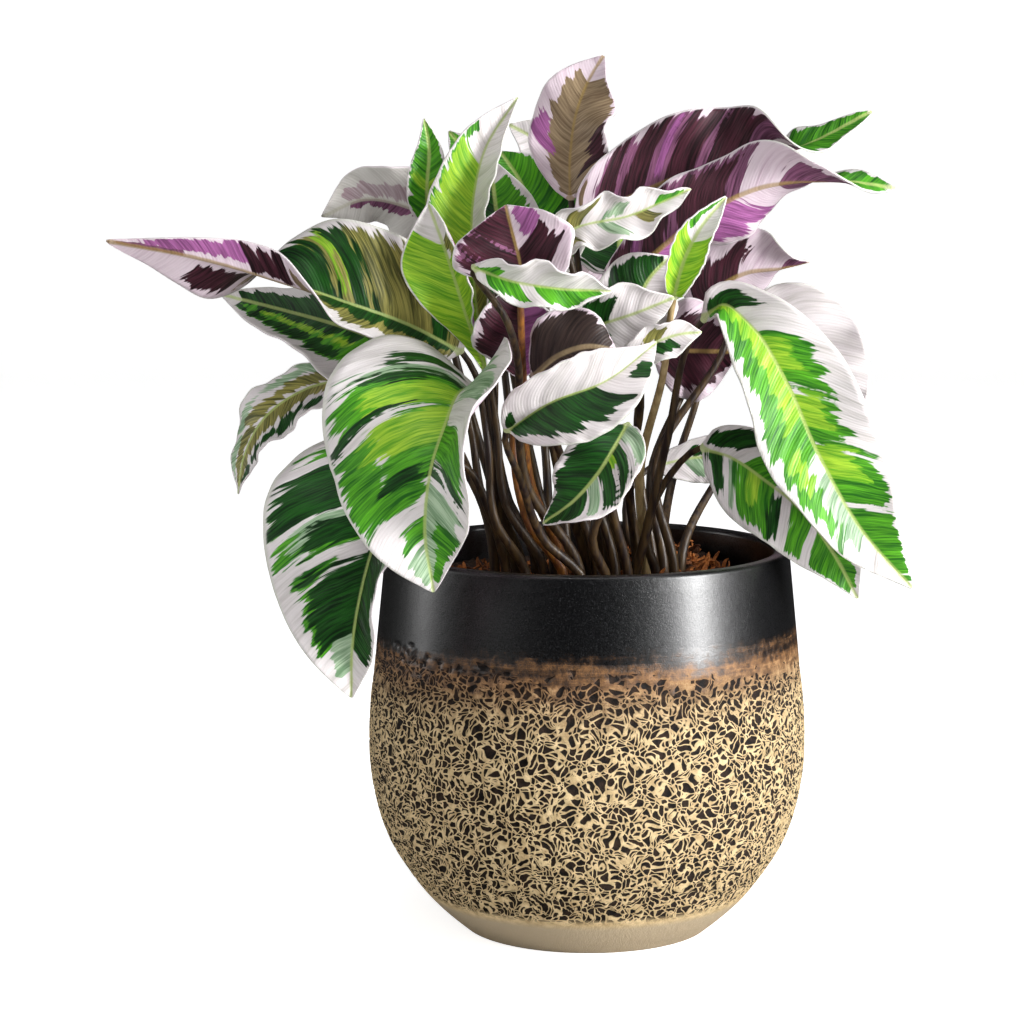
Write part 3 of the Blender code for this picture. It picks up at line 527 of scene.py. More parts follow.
def blade_rings(leaf, stations, shares):
    """Closed rings round the blade: its upper face from left to right, then its lower face back."""
    near = blade_surface(leaf, np.clip(stations - 0.01, 0, 1), shares)
    far = blade_surface(leaf, np.clip(stations + 0.01, 0, 1), shares)
    middle = blade_surface(leaf, stations, shares)
    sideways = np.gradient(middle, axis=1)
    upper = unit(np.cross(sideways, far - near))
    offset = upper * BLADE_THICKNESS / 2
    distance = signed_widths(leaf, stations, shares)
    rib = RIB_HEIGHT * (1 - stations[:, None]) ** 0.7 * np.exp(-((distance / RIB_WIDTH) ** 2))
    below = middle - offset - upper * rib[:, :, None]
    return np.concatenate([middle + offset, below[:, ::-1]], axis=1)


def stalk_rings(leaf, size, shares):
    """Round rings from the bottom of the hole up to the blade's base, turned to meet its first ring."""
    x, y = leaf.root
    path = [(x, y, SOIL_TOP - HOLE_DEPTH + SEAT_GAP), (x, y, SOIL_TOP - 4), (x, y, SOIL_TOP + 3), *leaf.stalk]
    path += [point[:3] for point in leaf.blade[:2]]
    path = np.array(path, float)
    knots = knots_of(path)
    free_length = np.linalg.norm(np.diff(path[2:-1], axis=0), axis=1).sum()
    count = 1 + max(6, round(free_length / STALK_SPACING))
    stations = np.append(0, np.linspace(knots[2], knots[-2], count))
    centres = spline(path, stations)
    ahead = directions(path, stations)
    first = blade_surface(leaf, np.array([FIRST_STATION]), shares)[0]
    right = first[-1] - first[0]
    rings = []
    for i in range(count, -1, -1):
        right = unit(right - np.dot(right, ahead[i]) * ahead[i])
        upper = np.cross(right, ahead[i])
        radius = STALK_RADIUS + (NECK_RADIUS - STALK_RADIUS) * i / count
        angles = np.pi - (np.arange(size) + 0.5) * 2 * np.pi / size
        circle = np.cos(angles)[:, None] * right + np.sin(angles)[:, None] * upper
        rings.append(centres[i] + radius * circle)
    return np.array(rings[::-1])


def ramp(distance, softness):
    return np.clip(0.5 + distance / softness, 0, 1)


def patch_amount(patch, origin, share):
    """How much of a patch lies at each point, one half at its border."""
    start, end, inner, outer = patch
    along = np.minimum(ramp(origin - start, PATCH_SOFTNESS), ramp(end - origin, PATCH_SOFTNESS))
    reach = ramp(outer - share, REACH_SOFTNESS)
    if inner > 0:
        reach = np.minimum(reach, ramp(share - inner, REACH_SOFTNESS))
    return np.minimum(along, reach)


def paint_amounts(leaf, stations, shares):
    """The amount of each paint at each point of a row from the left margin to the right one."""
    length = blade_length(leaf)
    amounts = {}
    for paint in (*PAINTS, "olive"):
        halves = []
        for side in (0, 1):
            share = np.concatenate([[0], shares]) * np.ones((len(stations), 1))
            width = half_width(leaf, side, stations)[:, None] * share
            origin = stations[:, None] - width * (VEIN_LEAN + VEIN_CURVE * share) / length
            found = np.zeros_like(origin)
            for patch in leaf.patches(side, paint):
                found = np.maximum(found, patch_amount(patch, origin, share))
            halves.append(found)
        left, right = halves
        middle = np.maximum(left, right)[:, :1]
        amounts[paint] = np.concatenate([left[:, :0:-1], middle, right[:, 1:]], axis=1)
    return amounts


def vein_places(leaf, index, stations, shares):
    """The flat place of each point: where its lateral vein leaves the midrib, and its distance from it."""
    distance = signed_widths(leaf, stations, shares)
    share = np.concatenate([shares[::-1], [0], shares])
    origin = stations[:, None] * blade_length(leaf) - np.abs(distance) * (VEIN_LEAN + VEIN_CURVE * share)
    return np.stack([origin * UV_SCALE + UV_STEP * index, distance * UV_SCALE], axis=2)


def both_faces(rows):
    """Values of the middle surface, given to the ring round it."""
    return np.concatenate([rows, rows[:, ::-1]], axis=1)


def mesh_from_rings(name, rings, materials):
    """One closed body through rings of equal size. Slots: upper face, lower face, stalk."""
    count, size = rings.shape[:2]
    index = np.arange(count * size).reshape(count, size)
    lower, higher = index[:-1], index[1:]
    quads = np.stack([lower, np.roll(lower, -1, 1), np.roll(higher, -1, 1), higher], axis=2).reshape(-1, 4)
    half = size // 2
    tip = index[-1]
    upper, under = tip[:half], tip[:half - 1:-1]
    cap = np.stack([upper[:-1], upper[1:], under[1:], under[:-1]], axis=1)
    faces = quads.tolist() + cap.tolist() + [index[0][::-1].tolist()]
    mesh = bpy.data.meshes.new(name)
    mesh.from_pydata((rings.reshape(-1, 3) * MM).tolist(), [], faces)
    for material in materials:
        mesh.materials.append(material)
    return mesh


def add_uv_map(mesh, places):
    """places: one pair for each vertex."""
    layer = mesh.uv_layers.new(name="veins")
    corners = np.zeros(len(mesh.loops), np.int32)
    mesh.loops.foreach_get("vertex_index", corners)
    layer.data.foreach_set("uv", places[corners].astype(np.float32).ravel())


def add_values(mesh, name, values):
    """Gives every vertex a value, or a colour when there are four numbers each."""
    kind, key = ("FLOAT_COLOR", "color") if values.ndim == 3 else ("FLOAT", "value")
    mesh.attributes.new(name, kind, "POINT").data.foreach_set(key, values.astype(np.float32).ravel())


def add_leaf(leaf, index, materials):
    """A leaf with its stalk, its face and back painted from its patches."""
    shares = (np.arange(1, HALF_ACROSS + 1) / HALF_ACROSS) ** SHARE_POWER
    count = round(blade_length(leaf) / BLADE_SPACING)
    stations = np.linspace(FIRST_STATION, 1, count)
    size = 2 * (2 * HALF_ACROSS + 1)
    blade = blade_rings(leaf, stations, shares)
    stalk = stalk_rings(leaf, size, shares)
    rings = np.concatenate([stalk, blade])
    mesh = mesh_from_rings(leaf.name + "_detailed", rings, materials)

    stalk_count = len(stalk)
    places = np.zeros((len(rings), size, 2))
    places[stalk_count:] = both_faces(vein_places(leaf, index, stations, shares))
    below = STALK_SPACING * np.arange(stalk_count, 0, -1)[:, None]
    places[:stalk_count, :, 0] = UV_STEP * index - UV_SCALE * below
    places[:stalk_count, :, 1] = UV_SCALE * np.cos(np.linspace(0, 2 * np.pi, size, endpoint=False))
    add_uv_map(mesh, places.reshape(-1, 2))

    amounts = paint_amounts(leaf, stations, shares)
    zones = np.zeros((len(rings), size, 4))
    for channel, paint in enumerate(PAINTS):
        zones[stalk_count:, :, channel] = both_faces(amounts[paint])
    add_values(mesh, "zones", zones)
    outward = np.concatenate([shares[::-1], [0], shares]) * np.ones((count, 1))
    for name, rows in (("olive", amounts["olive"]), ("margin", outward)):
        values = np.zeros((len(rings), size))
        values[stalk_count:] = both_faces(rows)
        add_values(mesh, name, values)

    rows = np.arange(len(rings) - 1)[:, None] * np.ones((1, size), int)
    upper = (np.arange(size) < size // 2)[None, :] * np.ones((len(rings) - 1, 1), bool)
    slots = np.where(rows < stalk_count - 1, 2, np.where(upper, 0, 1)).ravel()
    slots = np.concatenate([slots, np.zeros(size // 2 - 1, int), [2]])
    mesh.polygons.foreach_set("material_index", slots.astype(np.int32))
    mesh.polygons.foreach_set("use_smooth", np.ones(len(mesh.polygons), bool))
    piece = bpy.data.objects.new(mesh.name, mesh)
    bpy.context.scene.collection.objects.link(piece)
    set_in_place(piece, leaf.name)


def set_in_place(piece, node):
    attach(piece, "root")
    if node:
        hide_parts(node)


# Node trees.


def new_group(name, inputs, outputs):
    """The input node, the output node and the tree of a shader node group with these number sockets."""
    group = bpy.data.node_groups.new(name, "ShaderNodeTree")
    for in_out, labels in (("INPUT", inputs), ("OUTPUT", outputs)):
        for label in labels:
            group.interface.new_socket(label, in_out=in_out, socket_type="NodeSocketFloat")
    return group.nodes.new("NodeGroupInput"), group.nodes.new("NodeGroupOutput"), Tree(group)


class Tree:
    """Short calls for adding nodes to a tree. A value is a number, a tuple or another node's output."""

    def __init__(self, tree):
        self.tree = tree

    def node(self, kind, inputs=None, **settings):
        made = self.tree.nodes.new(kind)
        for setting, value in settings.items():
            setattr(made, setting, value)
        for key, value in (inputs or {}).items():
            self.put(made.inputs[key], value)
        return made

    def put(self, socket, value):
        if isinstance(value, bpy.types.NodeSocket):
            self.tree.links.new(value, socket)
        else:
            socket.default_value = value

    def math(self, operation, first, second=0.0, third=0.0):
        made = self.node("ShaderNodeMath", operation=operation)
        for socket, value in zip(made.inputs, (first, second, third)):
            self.put(socket, value)
        return made.outputs[0]

    def vector(self, operation, first, second=None, scale=None):
        made = self.node("ShaderNodeVectorMath", operation=operation)
        self.put(made.inputs[0], first)
        if second is not None:
            self.put(made.inputs[1], second)
        if scale is not None:
            self.put(made.inputs["Scale"], scale)
        return made.outputs["Value" if operation in ("DOT_PRODUCT", "LENGTH") else "Vector"]

    def centred(self, value, share):
        """A value about 0.5, moved to lie about 0 and scaled."""
        return self.math("MULTIPLY", self.math("SUBTRACT", value, 0.5), share)

    def range(self, value, low, high, to_low=0.0, to_high=1.0, smooth=False):
        limits = {"From Min": low, "From Max": high, "To Min": to_low, "To Max": to_high}
        made = self.node("ShaderNodeMapRange", {"Value": value, **limits})
        made.interpolation_type = "SMOOTHSTEP" if smooth else "LINEAR"
        return made.outputs["Result"]

    def noise(self, vector, scale, detail=2.0, roughness=0.5):
        settings = {"Scale": scale, "Detail": detail, "Roughness": roughness}
        made = self.node("ShaderNodeTexNoise", {"Vector": vector, **settings})
        return made.outputs["Fac"]

    def mix(self, factor, first, second):
        made = self.node("ShaderNodeMix", data_type="RGBA")
        self.put(made.inputs["Factor"], factor)
        self.put(made.inputs["A"], first if isinstance(first, bpy.types.NodeSocket) else (*first, 1))
        self.put(made.inputs["B"], second if isinstance(second, bpy.types.NodeSocket) else (*second, 1))
        return made.outputs["Result"]

    def group(self, name, **values):
        """A node group, given its inputs by their names in lower case."""
        made = self.node("ShaderNodeGroup", node_tree=bpy.data.node_groups[name])
        for key, value in values.items():
            self.put(made.inputs[key.title()], value)
        return made

    def axis_distance(self, place):
        """How far a place lies from the Z axis."""
        parts = self.node("ShaderNodeSeparateXYZ", {"Vector": place}).outputs
        level = self.node("ShaderNodeCombineXYZ", {"X": parts["X"], "Y": parts["Y"]})
        return self.vector("LENGTH", level.outputs["Vector"])


def new_material(name):
    material = bpy.data.materials.new(name)
    material.use_nodes = True
    material.node_tree.nodes.clear()
    tree = Tree(material.node_tree)
    shader = tree.node("ShaderNodeBsdfPrincipled")
    output = tree.node("ShaderNodeOutputMaterial")
    tree.tree.links.new(shader.outputs["BSDF"], output.inputs["Surface"])
    return material, tree, shader


def finish_surface(tree, shader, colour, roughness, height=None, distance=0.0003):
    tree.put(shader.inputs["Base Color"], colour)
    tree.put(shader.inputs["Roughness"], roughness)
    if height is not None:
        bump = tree.node("ShaderNodeBump", {"Height": height, "Distance": distance})
        tree.put(shader.inputs["Normal"], bump.outputs["Normal"])


def build_vein_group():
    """Streaks that run along the lateral veins, and the veins' own ribs."""
    _, out, tree = new_group("Vein streaks", (), ("Broad", "Fine", "Rib", "Midrib"))
    place = tree.node("ShaderNodeUVMap", uv_map="veins").outputs["UV"]
    parts = tree.node("ShaderNodeSeparateXYZ", {"Vector": place})
    wander = tree.noise(tree.vector("MULTIPLY", place, (8, 8, 0)), 1.0, 1.0)
    bent = tree.math("ADD", parts.outputs["X"], tree.centred(wander, 0.035))
    flow = tree.node("ShaderNodeCombineXYZ", {"X": bent, "Y": parts.outputs["Y"]}).outputs["Vector"]
    broad = tree.noise(tree.vector("MULTIPLY", flow, (22, 3, 0)), 1.0, 3.0, 0.55)
    fine = tree.noise(tree.vector("MULTIPLY", flow, (95, 7, 0)), 1.0, 2.0, 0.6)
    turns = 2 * math.pi / (UV_SCALE * VEIN_SPACING)
    rib = tree.math("SINE", tree.math("MULTIPLY", parts.outputs["X"], turns))
    fine_rib = tree.math("SINE", tree.math("MULTIPLY", parts.outputs["X"], 5 * turns))
    rib = tree.math("MULTIPLY_ADD", fine_rib, 0.35, rib)
    midrib = tree.range(tree.math("ABSOLUTE", parts.outputs["Y"]), 0.004, 0.013, 1.0, 0.0, True)
    for name, value in (("Broad", broad), ("Fine", fine), ("Rib", rib), ("Midrib", midrib)):
        tree.put(out.inputs[name], value)


def build_edge_group():
    """A painted zone with an edge that breaks up into streaks."""
    given, out, tree = new_group("Streaked zone", ("Amount", "Streak"), ("Mask",))
    total = tree.math("ADD", given.outputs["Amount"], given.outputs["Streak"])
    total = tree.math("MULTIPLY", total, tree.range(given.outputs["Amount"], 0.02, 0.2))
    tree.put(out.inputs["Mask"], tree.range(total, 0.46, 0.56, 0.0, 1.0, True))


def leaf_layers(tree, paints, streaks, margin):
    """The base colour of a leaf face: its paints laid over the pale ground in order."""
    broad, fine = streaks.outputs["Broad"], streaks.outputs["Fine"]
    streak = tree.math("ADD", tree.centred(broad, 1.7), tree.centred(fine, 0.35))
    zones = tree.node("ShaderNodeAttribute", attribute_name="zones")
    split = tree.node("ShaderNodeSeparateColor", {"Color": zones.outputs["Color"]})
    amounts = {
        "green": split.outputs["Red"], "sage": split.outputs["Green"],
        "lime": split.outputs["Blue"], "dark": zones.outputs["Alpha"],
        "olive": tree.node("ShaderNodeAttribute", attribute_name="olive").outputs["Fac"],
    }
    soft = tree.math("MULTIPLY_ADD", fine, 0.35, tree.math("MULTIPLY", broad, 0.65))
    crisp = tree.math("MULTIPLY_ADD", fine, 0.6, tree.math("MULTIPLY", broad, 0.4))
    colour = tree.mix(tree.range(soft, 0.46, 0.70), *paints["ground"])
    for paint in ("sage", "olive", "green", "lime", "dark"):
        mask = tree.group("Streaked zone", amount=amounts[paint], streak=streak).outputs["Mask"]
        colour = tree.mix(mask, colour, tree.mix(tree.range(crisp, 0.40, 0.60), *paints[paint]))
    colour = tree.mix(tree.math("MULTIPLY", streaks.outputs["Midrib"], 0.75), colour, paints["midrib"])
    return tree.mix(tree.range(margin, 0.955, 0.985, 0.0, 1.0, True), colour, paints["rim"])


def leaf_material(name, paints, roughness):
    material, tree, shader = new_material(name)
    streaks = tree.group("Vein streaks")
    margin = tree.node("ShaderNodeAttribute", attribute_name="margin").outputs["Fac"]
    colour = leaf_layers(tree, paints, streaks, margin)
    grain = tree.noise(tree.node("ShaderNodeTexCoord").outputs["Object"], 2600.0, 2.0)
    height = tree.math("MULTIPLY_ADD", streaks.outputs["Rib"], 0.35, tree.math("MULTIPLY", grain, 0.25))
    height = tree.math("MULTIPLY_ADD", streaks.outputs["Fine"], 0.5, height)
    dull = tree.range(streaks.outputs["Fine"], 0.3, 0.7, roughness - 0.05, roughness + 0.08)
    finish_surface(tree, shader, colour, dull, height, 0.00025)
    shader.inputs["Specular IOR Level"].default_value = 0.35
    return material


# The light and the deep shade of each paint. A leaf's underside shows the same patches in other colours.
FACE_PAINTS = {
    "ground": ((0.70, 0.655, 0.66), (0.44, 0.41, 0.39)),
    "sage": ((0.42, 0.55, 0.38), (0.14, 0.25, 0.13)),
    "olive": ((0.34, 0.31, 0.08), (0.07, 0.075, 0.018)),
    "green": ((0.10, 0.40, 0.015), (0.012, 0.115, 0.006)),
    "lime": ((0.40, 0.63, 0.04), (0.11, 0.34, 0.012)),
    "dark": ((0.012, 0.095, 0.008), (0.002, 0.018, 0.003)),
    "midrib": (0.42, 0.52, 0.16),
    "rim": (0.66, 0.65, 0.60),
}
BACK_PAINTS = {
    "ground": ((0.66, 0.55, 0.61), (0.46, 0.33, 0.41)),
    "sage": ((0.46, 0.38, 0.40), (0.28, 0.20, 0.22)),
    "olive": ((0.30, 0.22, 0.13), (0.14, 0.09, 0.05)),
    "green": ((0.25, 0.09, 0.18), (0.08, 0.025, 0.055)),
    "lime": ((0.44, 0.14, 0.38), (0.20, 0.055, 0.17)),
    "dark": ((0.075, 0.016, 0.030), (0.014, 0.0035, 0.006)),
    "midrib": (0.30, 0.20, 0.06),
    "rim": (0.72, 0.66, 0.68),
}
ASH_PAINTS = {**BACK_PAINTS, "ground": ((0.55, 0.53, 0.50), (0.38, 0.36, 0.33)), "midrib": (0.42, 0.40, 0.32)}
UMBER_PAINTS = {
    **BACK_PAINTS, "dark": ((0.05, 0.03, 0.025), (0.016, 0.009, 0.008)), "midrib": (0.30, 0.22, 0.12),
}
BACKS = {"plum": (BACK_PAINTS, 0.5), "ash": (ASH_PAINTS, 0.55), "umber": (UMBER_PAINTS, 0.5)}
STEM_COLOURS = {
    # The olive stalks' own olive brown is darkened to near black as painted shade under the leaves.
    "olive": ((0.075, 0.045, 0.017), (0.018, 0.009, 0.007)),
    "rust": ((0.30, 0.12, 0.02), (0.12, 0.04, 0.015)),
    "tan": ((0.45, 0.33, 0.16), (0.25, 0.17, 0.07)),
}


def stem_material(name, light, deep):
    material, tree, shader = new_material(name)
    place = tree.node("ShaderNodeTexCoord").outputs["Object"]
    streak = tree.noise(tree.vector("MULTIPLY", place, (500, 500, 25)), 1.0, 3.0)
    colour = tree.mix(tree.range(streak, 0.35, 0.62), light, deep)
    finish_surface(tree, shader, colour, tree.range(streak, 0.3, 0.7, 0.38, 0.55), streak, 0.0003)
    return material


class PLANT_OT_leaves(bpy.types.Operator):
    """Adds every leaf with its stalk"""

    bl_idname = "plant.leaves"
    bl_label = "Leaves"

    def execute(self, context):
        build_vein_group()
        build_edge_group()
        face = leaf_material("Variegated leaf face", FACE_PAINTS, 0.42)
        backs, stems = {}, {}
        for name, look in BACKS.items():
            backs[name] = leaf_material(f"{name.title()} leaf back", *look)
        for name, look in STEM_COLOURS.items():
            stems[name] = stem_material(f"{name.title()} leaf stalk", *look)
        for index, leaf in enumerate(LEAVES):
            add_leaf(leaf, index, (face, backs[leaf.back], stems[leaf.stem]))
        return {"FINISHED"}


# Pot.


def rim_profile(steps=8):
    """The rounded rim, from its outer edge over the top to its inner edge."""
    points = []
    for centre, start in ((RIM_OUTER - RIM_ROUND, 0), (RIM_INNER + RIM_ROUND, 90)):
        for step in range(steps + 1):
            angle = math.radians(start + 90 * step / steps)
            out, up = RIM_ROUND * math.cos(angle), RIM_ROUND * math.sin(angle)
            points.append((centre + out, POT_HEIGHT - RIM_ROUND + up))
    return points


def smooth_profile(points, spacing):
    """Points about `spacing` apart on a smooth curve through these."""
    rows = np.array([(radius, z, 0) for radius, z in points], float)
    length = np.linalg.norm(np.diff(rows, axis=0), axis=1).sum()
    return [tuple(row[:2]) for row in spline(rows, np.linspace(0, 1, round(length / spacing)))]


def pot_profile():
    """The turned outline, from the foot up over the rim and down inside to the floor."""
    outside = smooth_profile(POT_OUTSIDE, POT_SPACING)
    inside = [(radius - WALL, z) for radius, z in POT_OUTSIDE[-1:3:-2]]
    inside += [(56, FLOOR_THICKNESS + 4), (48, FLOOR_THICKNESS)]
    foot = [(FOOT_HOLLOW, 0), (FOOT_HOLLOW + 4, 0)]
    return [*foot, *outside, *rim_profile(), *smooth_profile(inside, 6), (24, FLOOR_THICKNESS)]


def deselect_all():
    if bpy.context.object and bpy.context.object.mode != "OBJECT":
        bpy.ops.object.mode_set(mode="OBJECT")
    bpy.ops.object.select_all(action="DESELECT")


def extrude_ring(radius, z, last):
    """Extrudes the selected ring to this radius and height about Z."""
    bpy.ops.mesh.extrude_region_move(TRANSFORM_OT_translate={"value": (0, 0, (z - last[1]) * MM)})
    if radius != last[0]:
        scale = radius / last[0]
        bpy.ops.transform.resize(value=(scale, scale, 1), center_override=(0, 0, z * MM))


def turn_profile(profile, segments):
    """The active object: the profile turned round Z, its ends closed."""
    deselect_all()
    radius, z = profile[0]
    bpy.ops.mesh.primitive_circle_add(
        vertices=segments, radius=radius * MM, location=(0, 0, z * MM), fill_type="NGON")
    bpy.ops.object.transform_apply(location=True, rotation=True, scale=True)
    bpy.ops.object.mode_set(mode="EDIT")
    bpy.ops.mesh.select_all(action="SELECT")
    for last, point in zip(profile, profile[1:]):
        extrude_ring(*point, last)
    bpy.ops.mesh.select_all(action="SELECT")
    bpy.ops.mesh.remove_doubles(threshold=0.00001)
    bpy.ops.mesh.normals_make_consistent(inside=False)
    bpy.ops.object.mode_set(mode="OBJECT")
    return bpy.context.object


def pit_mask(tree, place):
    """The pits' depth from 0 to 1 at a place on the clay: solid chips, and combs of gouged dashes."""
    parts = tree.node("ShaderNodeSeparateXYZ", {"Vector": place})
    waver = tree.node("ShaderNodeTexNoise", {"Vector": place, "Scale": 125.0, "Detail": 0.6})
    drift = tree.vector("SUBTRACT", waver.outputs["Color"], (0.5, 0.5, 0.5))
    bent = tree.vector("ADD", place, tree.vector("SCALE", drift, scale=PIT_DRIFT * MM))
    cells = {"Vector": bent, "Scale": PIT_SCALE, "Randomness": 0.85}
    cell = tree.node("ShaderNodeTexVoronoi", cells)
    edge = tree.node("ShaderNodeTexVoronoi", cells, feature="DISTANCE_TO_EDGE")
    chances = tree.node("ShaderNodeSeparateXYZ", {"Vector": cell.outputs["Color"]})
    slant = tree.vector("NORMALIZE", tree.vector("SUBTRACT", cell.outputs["Color"], (0.5, 0.5, 0.5)))
    across = tree.vector("DOT_PRODUCT", slant, bent)
    comb = tree.math("SINE", tree.math("MULTIPLY", across, 2 * math.pi / (COMB_SPACING * MM)))
    comb = tree.range(comb, -0.8, -0.45)
    solid = tree.math("GREATER_THAN", chances.outputs["Z"], 0.45)
    inside = tree.range(edge.outputs["Distance"], 0.065, 0.105)
    height = parts.outputs["Z"]
    ragged = tree.math("MULTIPLY_ADD", parts.outputs["X"], 0.05, height)
    rarer = tree.range(ragged, (BAND_BOTTOM - 17) * MM, (BAND_BOTTOM - 7) * MM, 0.0, 1.0)
    kept = tree.math("GREATER_THAN", chances.outputs["X"], rarer)
    foot = tree.range(height, (FOOT_BAND + 1) * MM, (FOOT_BAND + 3.5) * MM)
    outer = tree.math("GREATER_THAN", tree.axis_distance(place), PITS_FROM * MM)
    mask = tree.math("MULTIPLY", tree.math("MULTIPLY", tree.math("MAXIMUM", comb, solid), inside),
                     tree.math("MULTIPLY", kept, foot))
    return tree.math("MULTIPLY", mask, outer)


def carve_pits(pot):
    """Pushes the clay in where the pits are, and keeps each point's place before that for the glaze."""
    group = bpy.data.node_groups.new("Carved pits", "GeometryNodeTree")
    for side in ("INPUT", "OUTPUT"):
        group.interface.new_socket("Geometry", in_out=side, socket_type="NodeSocketGeometry")
    tree = Tree(group)
    given, out = tree.node("NodeGroupInput"), tree.node("NodeGroupOutput")
    place = tree.node("GeometryNodeInputPosition").outputs["Position"]
    stored = tree.node("GeometryNodeStoreNamedAttribute", data_type="FLOAT_VECTOR", domain="POINT")
    tree.put(stored.inputs["Geometry"], given.outputs[0])
    tree.put(stored.inputs["Name"], "clay")
    tree.put(stored.inputs["Value"], place)
    normal = tree.node("GeometryNodeInputNormal").outputs["Normal"]
    depth = tree.math("MULTIPLY", pit_mask(tree, place), -PIT_DEPTH * MM)
    moved = tree.node("GeometryNodeSetPosition")
    tree.put(moved.inputs["Geometry"], stored.outputs["Geometry"])
    tree.put(moved.inputs["Offset"], tree.vector("SCALE", normal, scale=depth))
    tree.put(out.inputs[0], moved.outputs["Geometry"])
    modifier = pot.modifiers.new("Carved pits", "NODES")
    modifier.node_group = group
    bpy.ops.object.modifier_apply(modifier=modifier.name)


def pot_material(settings):
    material, tree, shader = new_material("Pitted stoneware and black glaze")
    place = tree.node("ShaderNodeAttribute", attribute_name="clay").outputs["Vector"]
    parts = tree.node("ShaderNodeSeparateXYZ", {"Vector": place})
    height = parts.outputs["Z"]
    pits = pit_mask(tree, place)
    smear = tree.noise(tree.vector("MULTIPLY", place, (14, 14, 420)), 1.0, 4.0, 0.6)
    mottle = tree.noise(place, 260.0, 3.0, 0.6)
    speckle = tree.noise(place, 1700.0, 2.0, 0.7)
    clay = tree.mix(tree.range(mottle, 0.35, 0.65), settings.clay_colour, settings.clay_dark)
    rust = tree.math("MULTIPLY_ADD", smear, 0.35, tree.math("MULTIPLY", mottle, 0.65))
    rust = tree.mix(tree.range(rust, 0.38, 0.62), *RUST_COLOURS)
    level = height
    for wander, reach in ((smear, 0.014), (mottle, 0.016), (speckle, 0.012)):
        level = tree.math("MULTIPLY_ADD", tree.math("SUBTRACT", wander, 0.5), reach, level)
    level = tree.math("MULTIPLY_ADD", parts.outputs["X"], -0.02, level)
    scorched = tree.range(level, (BAND_BOTTOM - 38) * MM, (BAND_BOTTOM - 10) * MM, 0.0, 1.0, True)
    body = tree.mix(scorched, clay, rust)
    glazed = tree.range(level, (BAND_BOTTOM - 18) * MM, (BAND_BOTTOM - 1) * MM, 0.0, 1.0, True)
    glaze = tree.mix(tree.range(speckle, 0.56, 0.72), *GLAZE_COLOURS)
    above_foot = tree.range(height, (FOOT_BAND - 2) * MM, (FOOT_BAND + 1) * MM)
    body = tree.mix(above_foot, settings.foot_colour, body)
    inner = tree.math("LESS_THAN", tree.axis_distance(place), GLAZED_WITHIN * MM)
    inner = tree.math("MULTIPLY", inner, tree.math("GREATER_THAN", height, GLAZED_ABOVE * MM))
    glazed = tree.math("MAXIMUM", glazed, inner)
    colour = tree.mix(glazed, body, glaze)
    # Pits: their own dark colour, darkened further as painted shade in the hollows.
    pit_and_shade = tree.mix(tree.range(mottle, 0.4, 0.6), *PIT_AND_SHADE_COLOURS)
    colour = tree.mix(pits, colour, pit_and_shade)
    rough = tree.range(glazed, 0.0, 1.0, 0.60, GLAZE_ROUGHNESS)
    rough = tree.math("MULTIPLY_ADD", tree.math("SUBTRACT", speckle, 0.5), 0.4, rough)
    rough = tree.math("MULTIPLY_ADD", pits, 0.2, rough)
    bump = tree.math("MULTIPLY_ADD", smear, 0.3, speckle)
    bump = tree.math("MULTIPLY_ADD", mottle, 1.2, bump)
    bump = tree.math("MULTIPLY", bump, tree.range(glazed, 0.0, 1.0, 1.0, 0.24))
    finish_surface(tree, shader, colour, rough, bump, 0.0007)
    tree.put(shader.inputs["Coat Weight"], tree.math("MULTIPLY", glazed, tree.math("SUBTRACT", 1.0, pits)))
    shader.inputs["Coat Roughness"].default_value = GLAZE_ROUGHNESS
    shader.inputs["Specular IOR Level"].default_value = 0.35
    return material


class PLANT_OT_pot(bpy.types.Operator):
    """Turns the pot, carves its pits and glazes its shoulder"""

    bl_idname = "plant.pot"
    bl_label = "Pot"

    def execute(self, context):
        settings = context.scene.prayer_pot
        pot = turn_profile(pot_profile(), settings.segments)
        pot.name = pot.data.name = "pot_detailed"
        carve_pits(pot)
        pot.data.materials.clear()
        pot.data.materials.append(pot_material(settings))
        bpy.ops.object.shade_smooth()
        set_in_place(pot, "pot")
        return {"FINISHED"}


# Mulch.


def mulch_height(x, y):
    """The height of the mulch's surface at a place in mm: a low uneven heap."""
    lumps = 1.6 * np.sin(0.11 * x + 1.3) * np.sin(0.13 * y + 0.4)
    lumps += 1.1 * np.sin(0.31 * x + 2 * np.sin(0.2 * y))
    heap = HEAP_HEIGHT * np.exp(-(((x - HEAP_X) / 26) ** 2) - ((y - 50) / 24) ** 2)
    return SOIL_TOP - 2 + lumps + heap + 1.2 * np.sin(0.9 * x) * np.sin(0.8 * y + 0.5)


def mulch_bed():
    """A closed bed under the chips, its top uneven."""
    floor = FLOOR_THICKNESS + SEAT_GAP
    profile = [(40, floor), (47.7, floor), (70, 34), (78, 60), (82, 86), (80, 140), (79.4, SOIL_TOP)]
    profile += [(radius, SOIL_TOP) for radius in np.arange(78, 2, -1.6)]
    bed = turn_profile(profile, 180)
    bed.name = bed.data.name = "mulch_bed"
    for vertex in bed.data.vertices:
        x, y, z = (value / MM for value in vertex.co)
        reach = math.hypot(x, y)
        if z > SOIL_TOP - 0.5 and reach < BED_REACH:
            vertex.co.z = mulch_height(x, y) * MM
    return bed


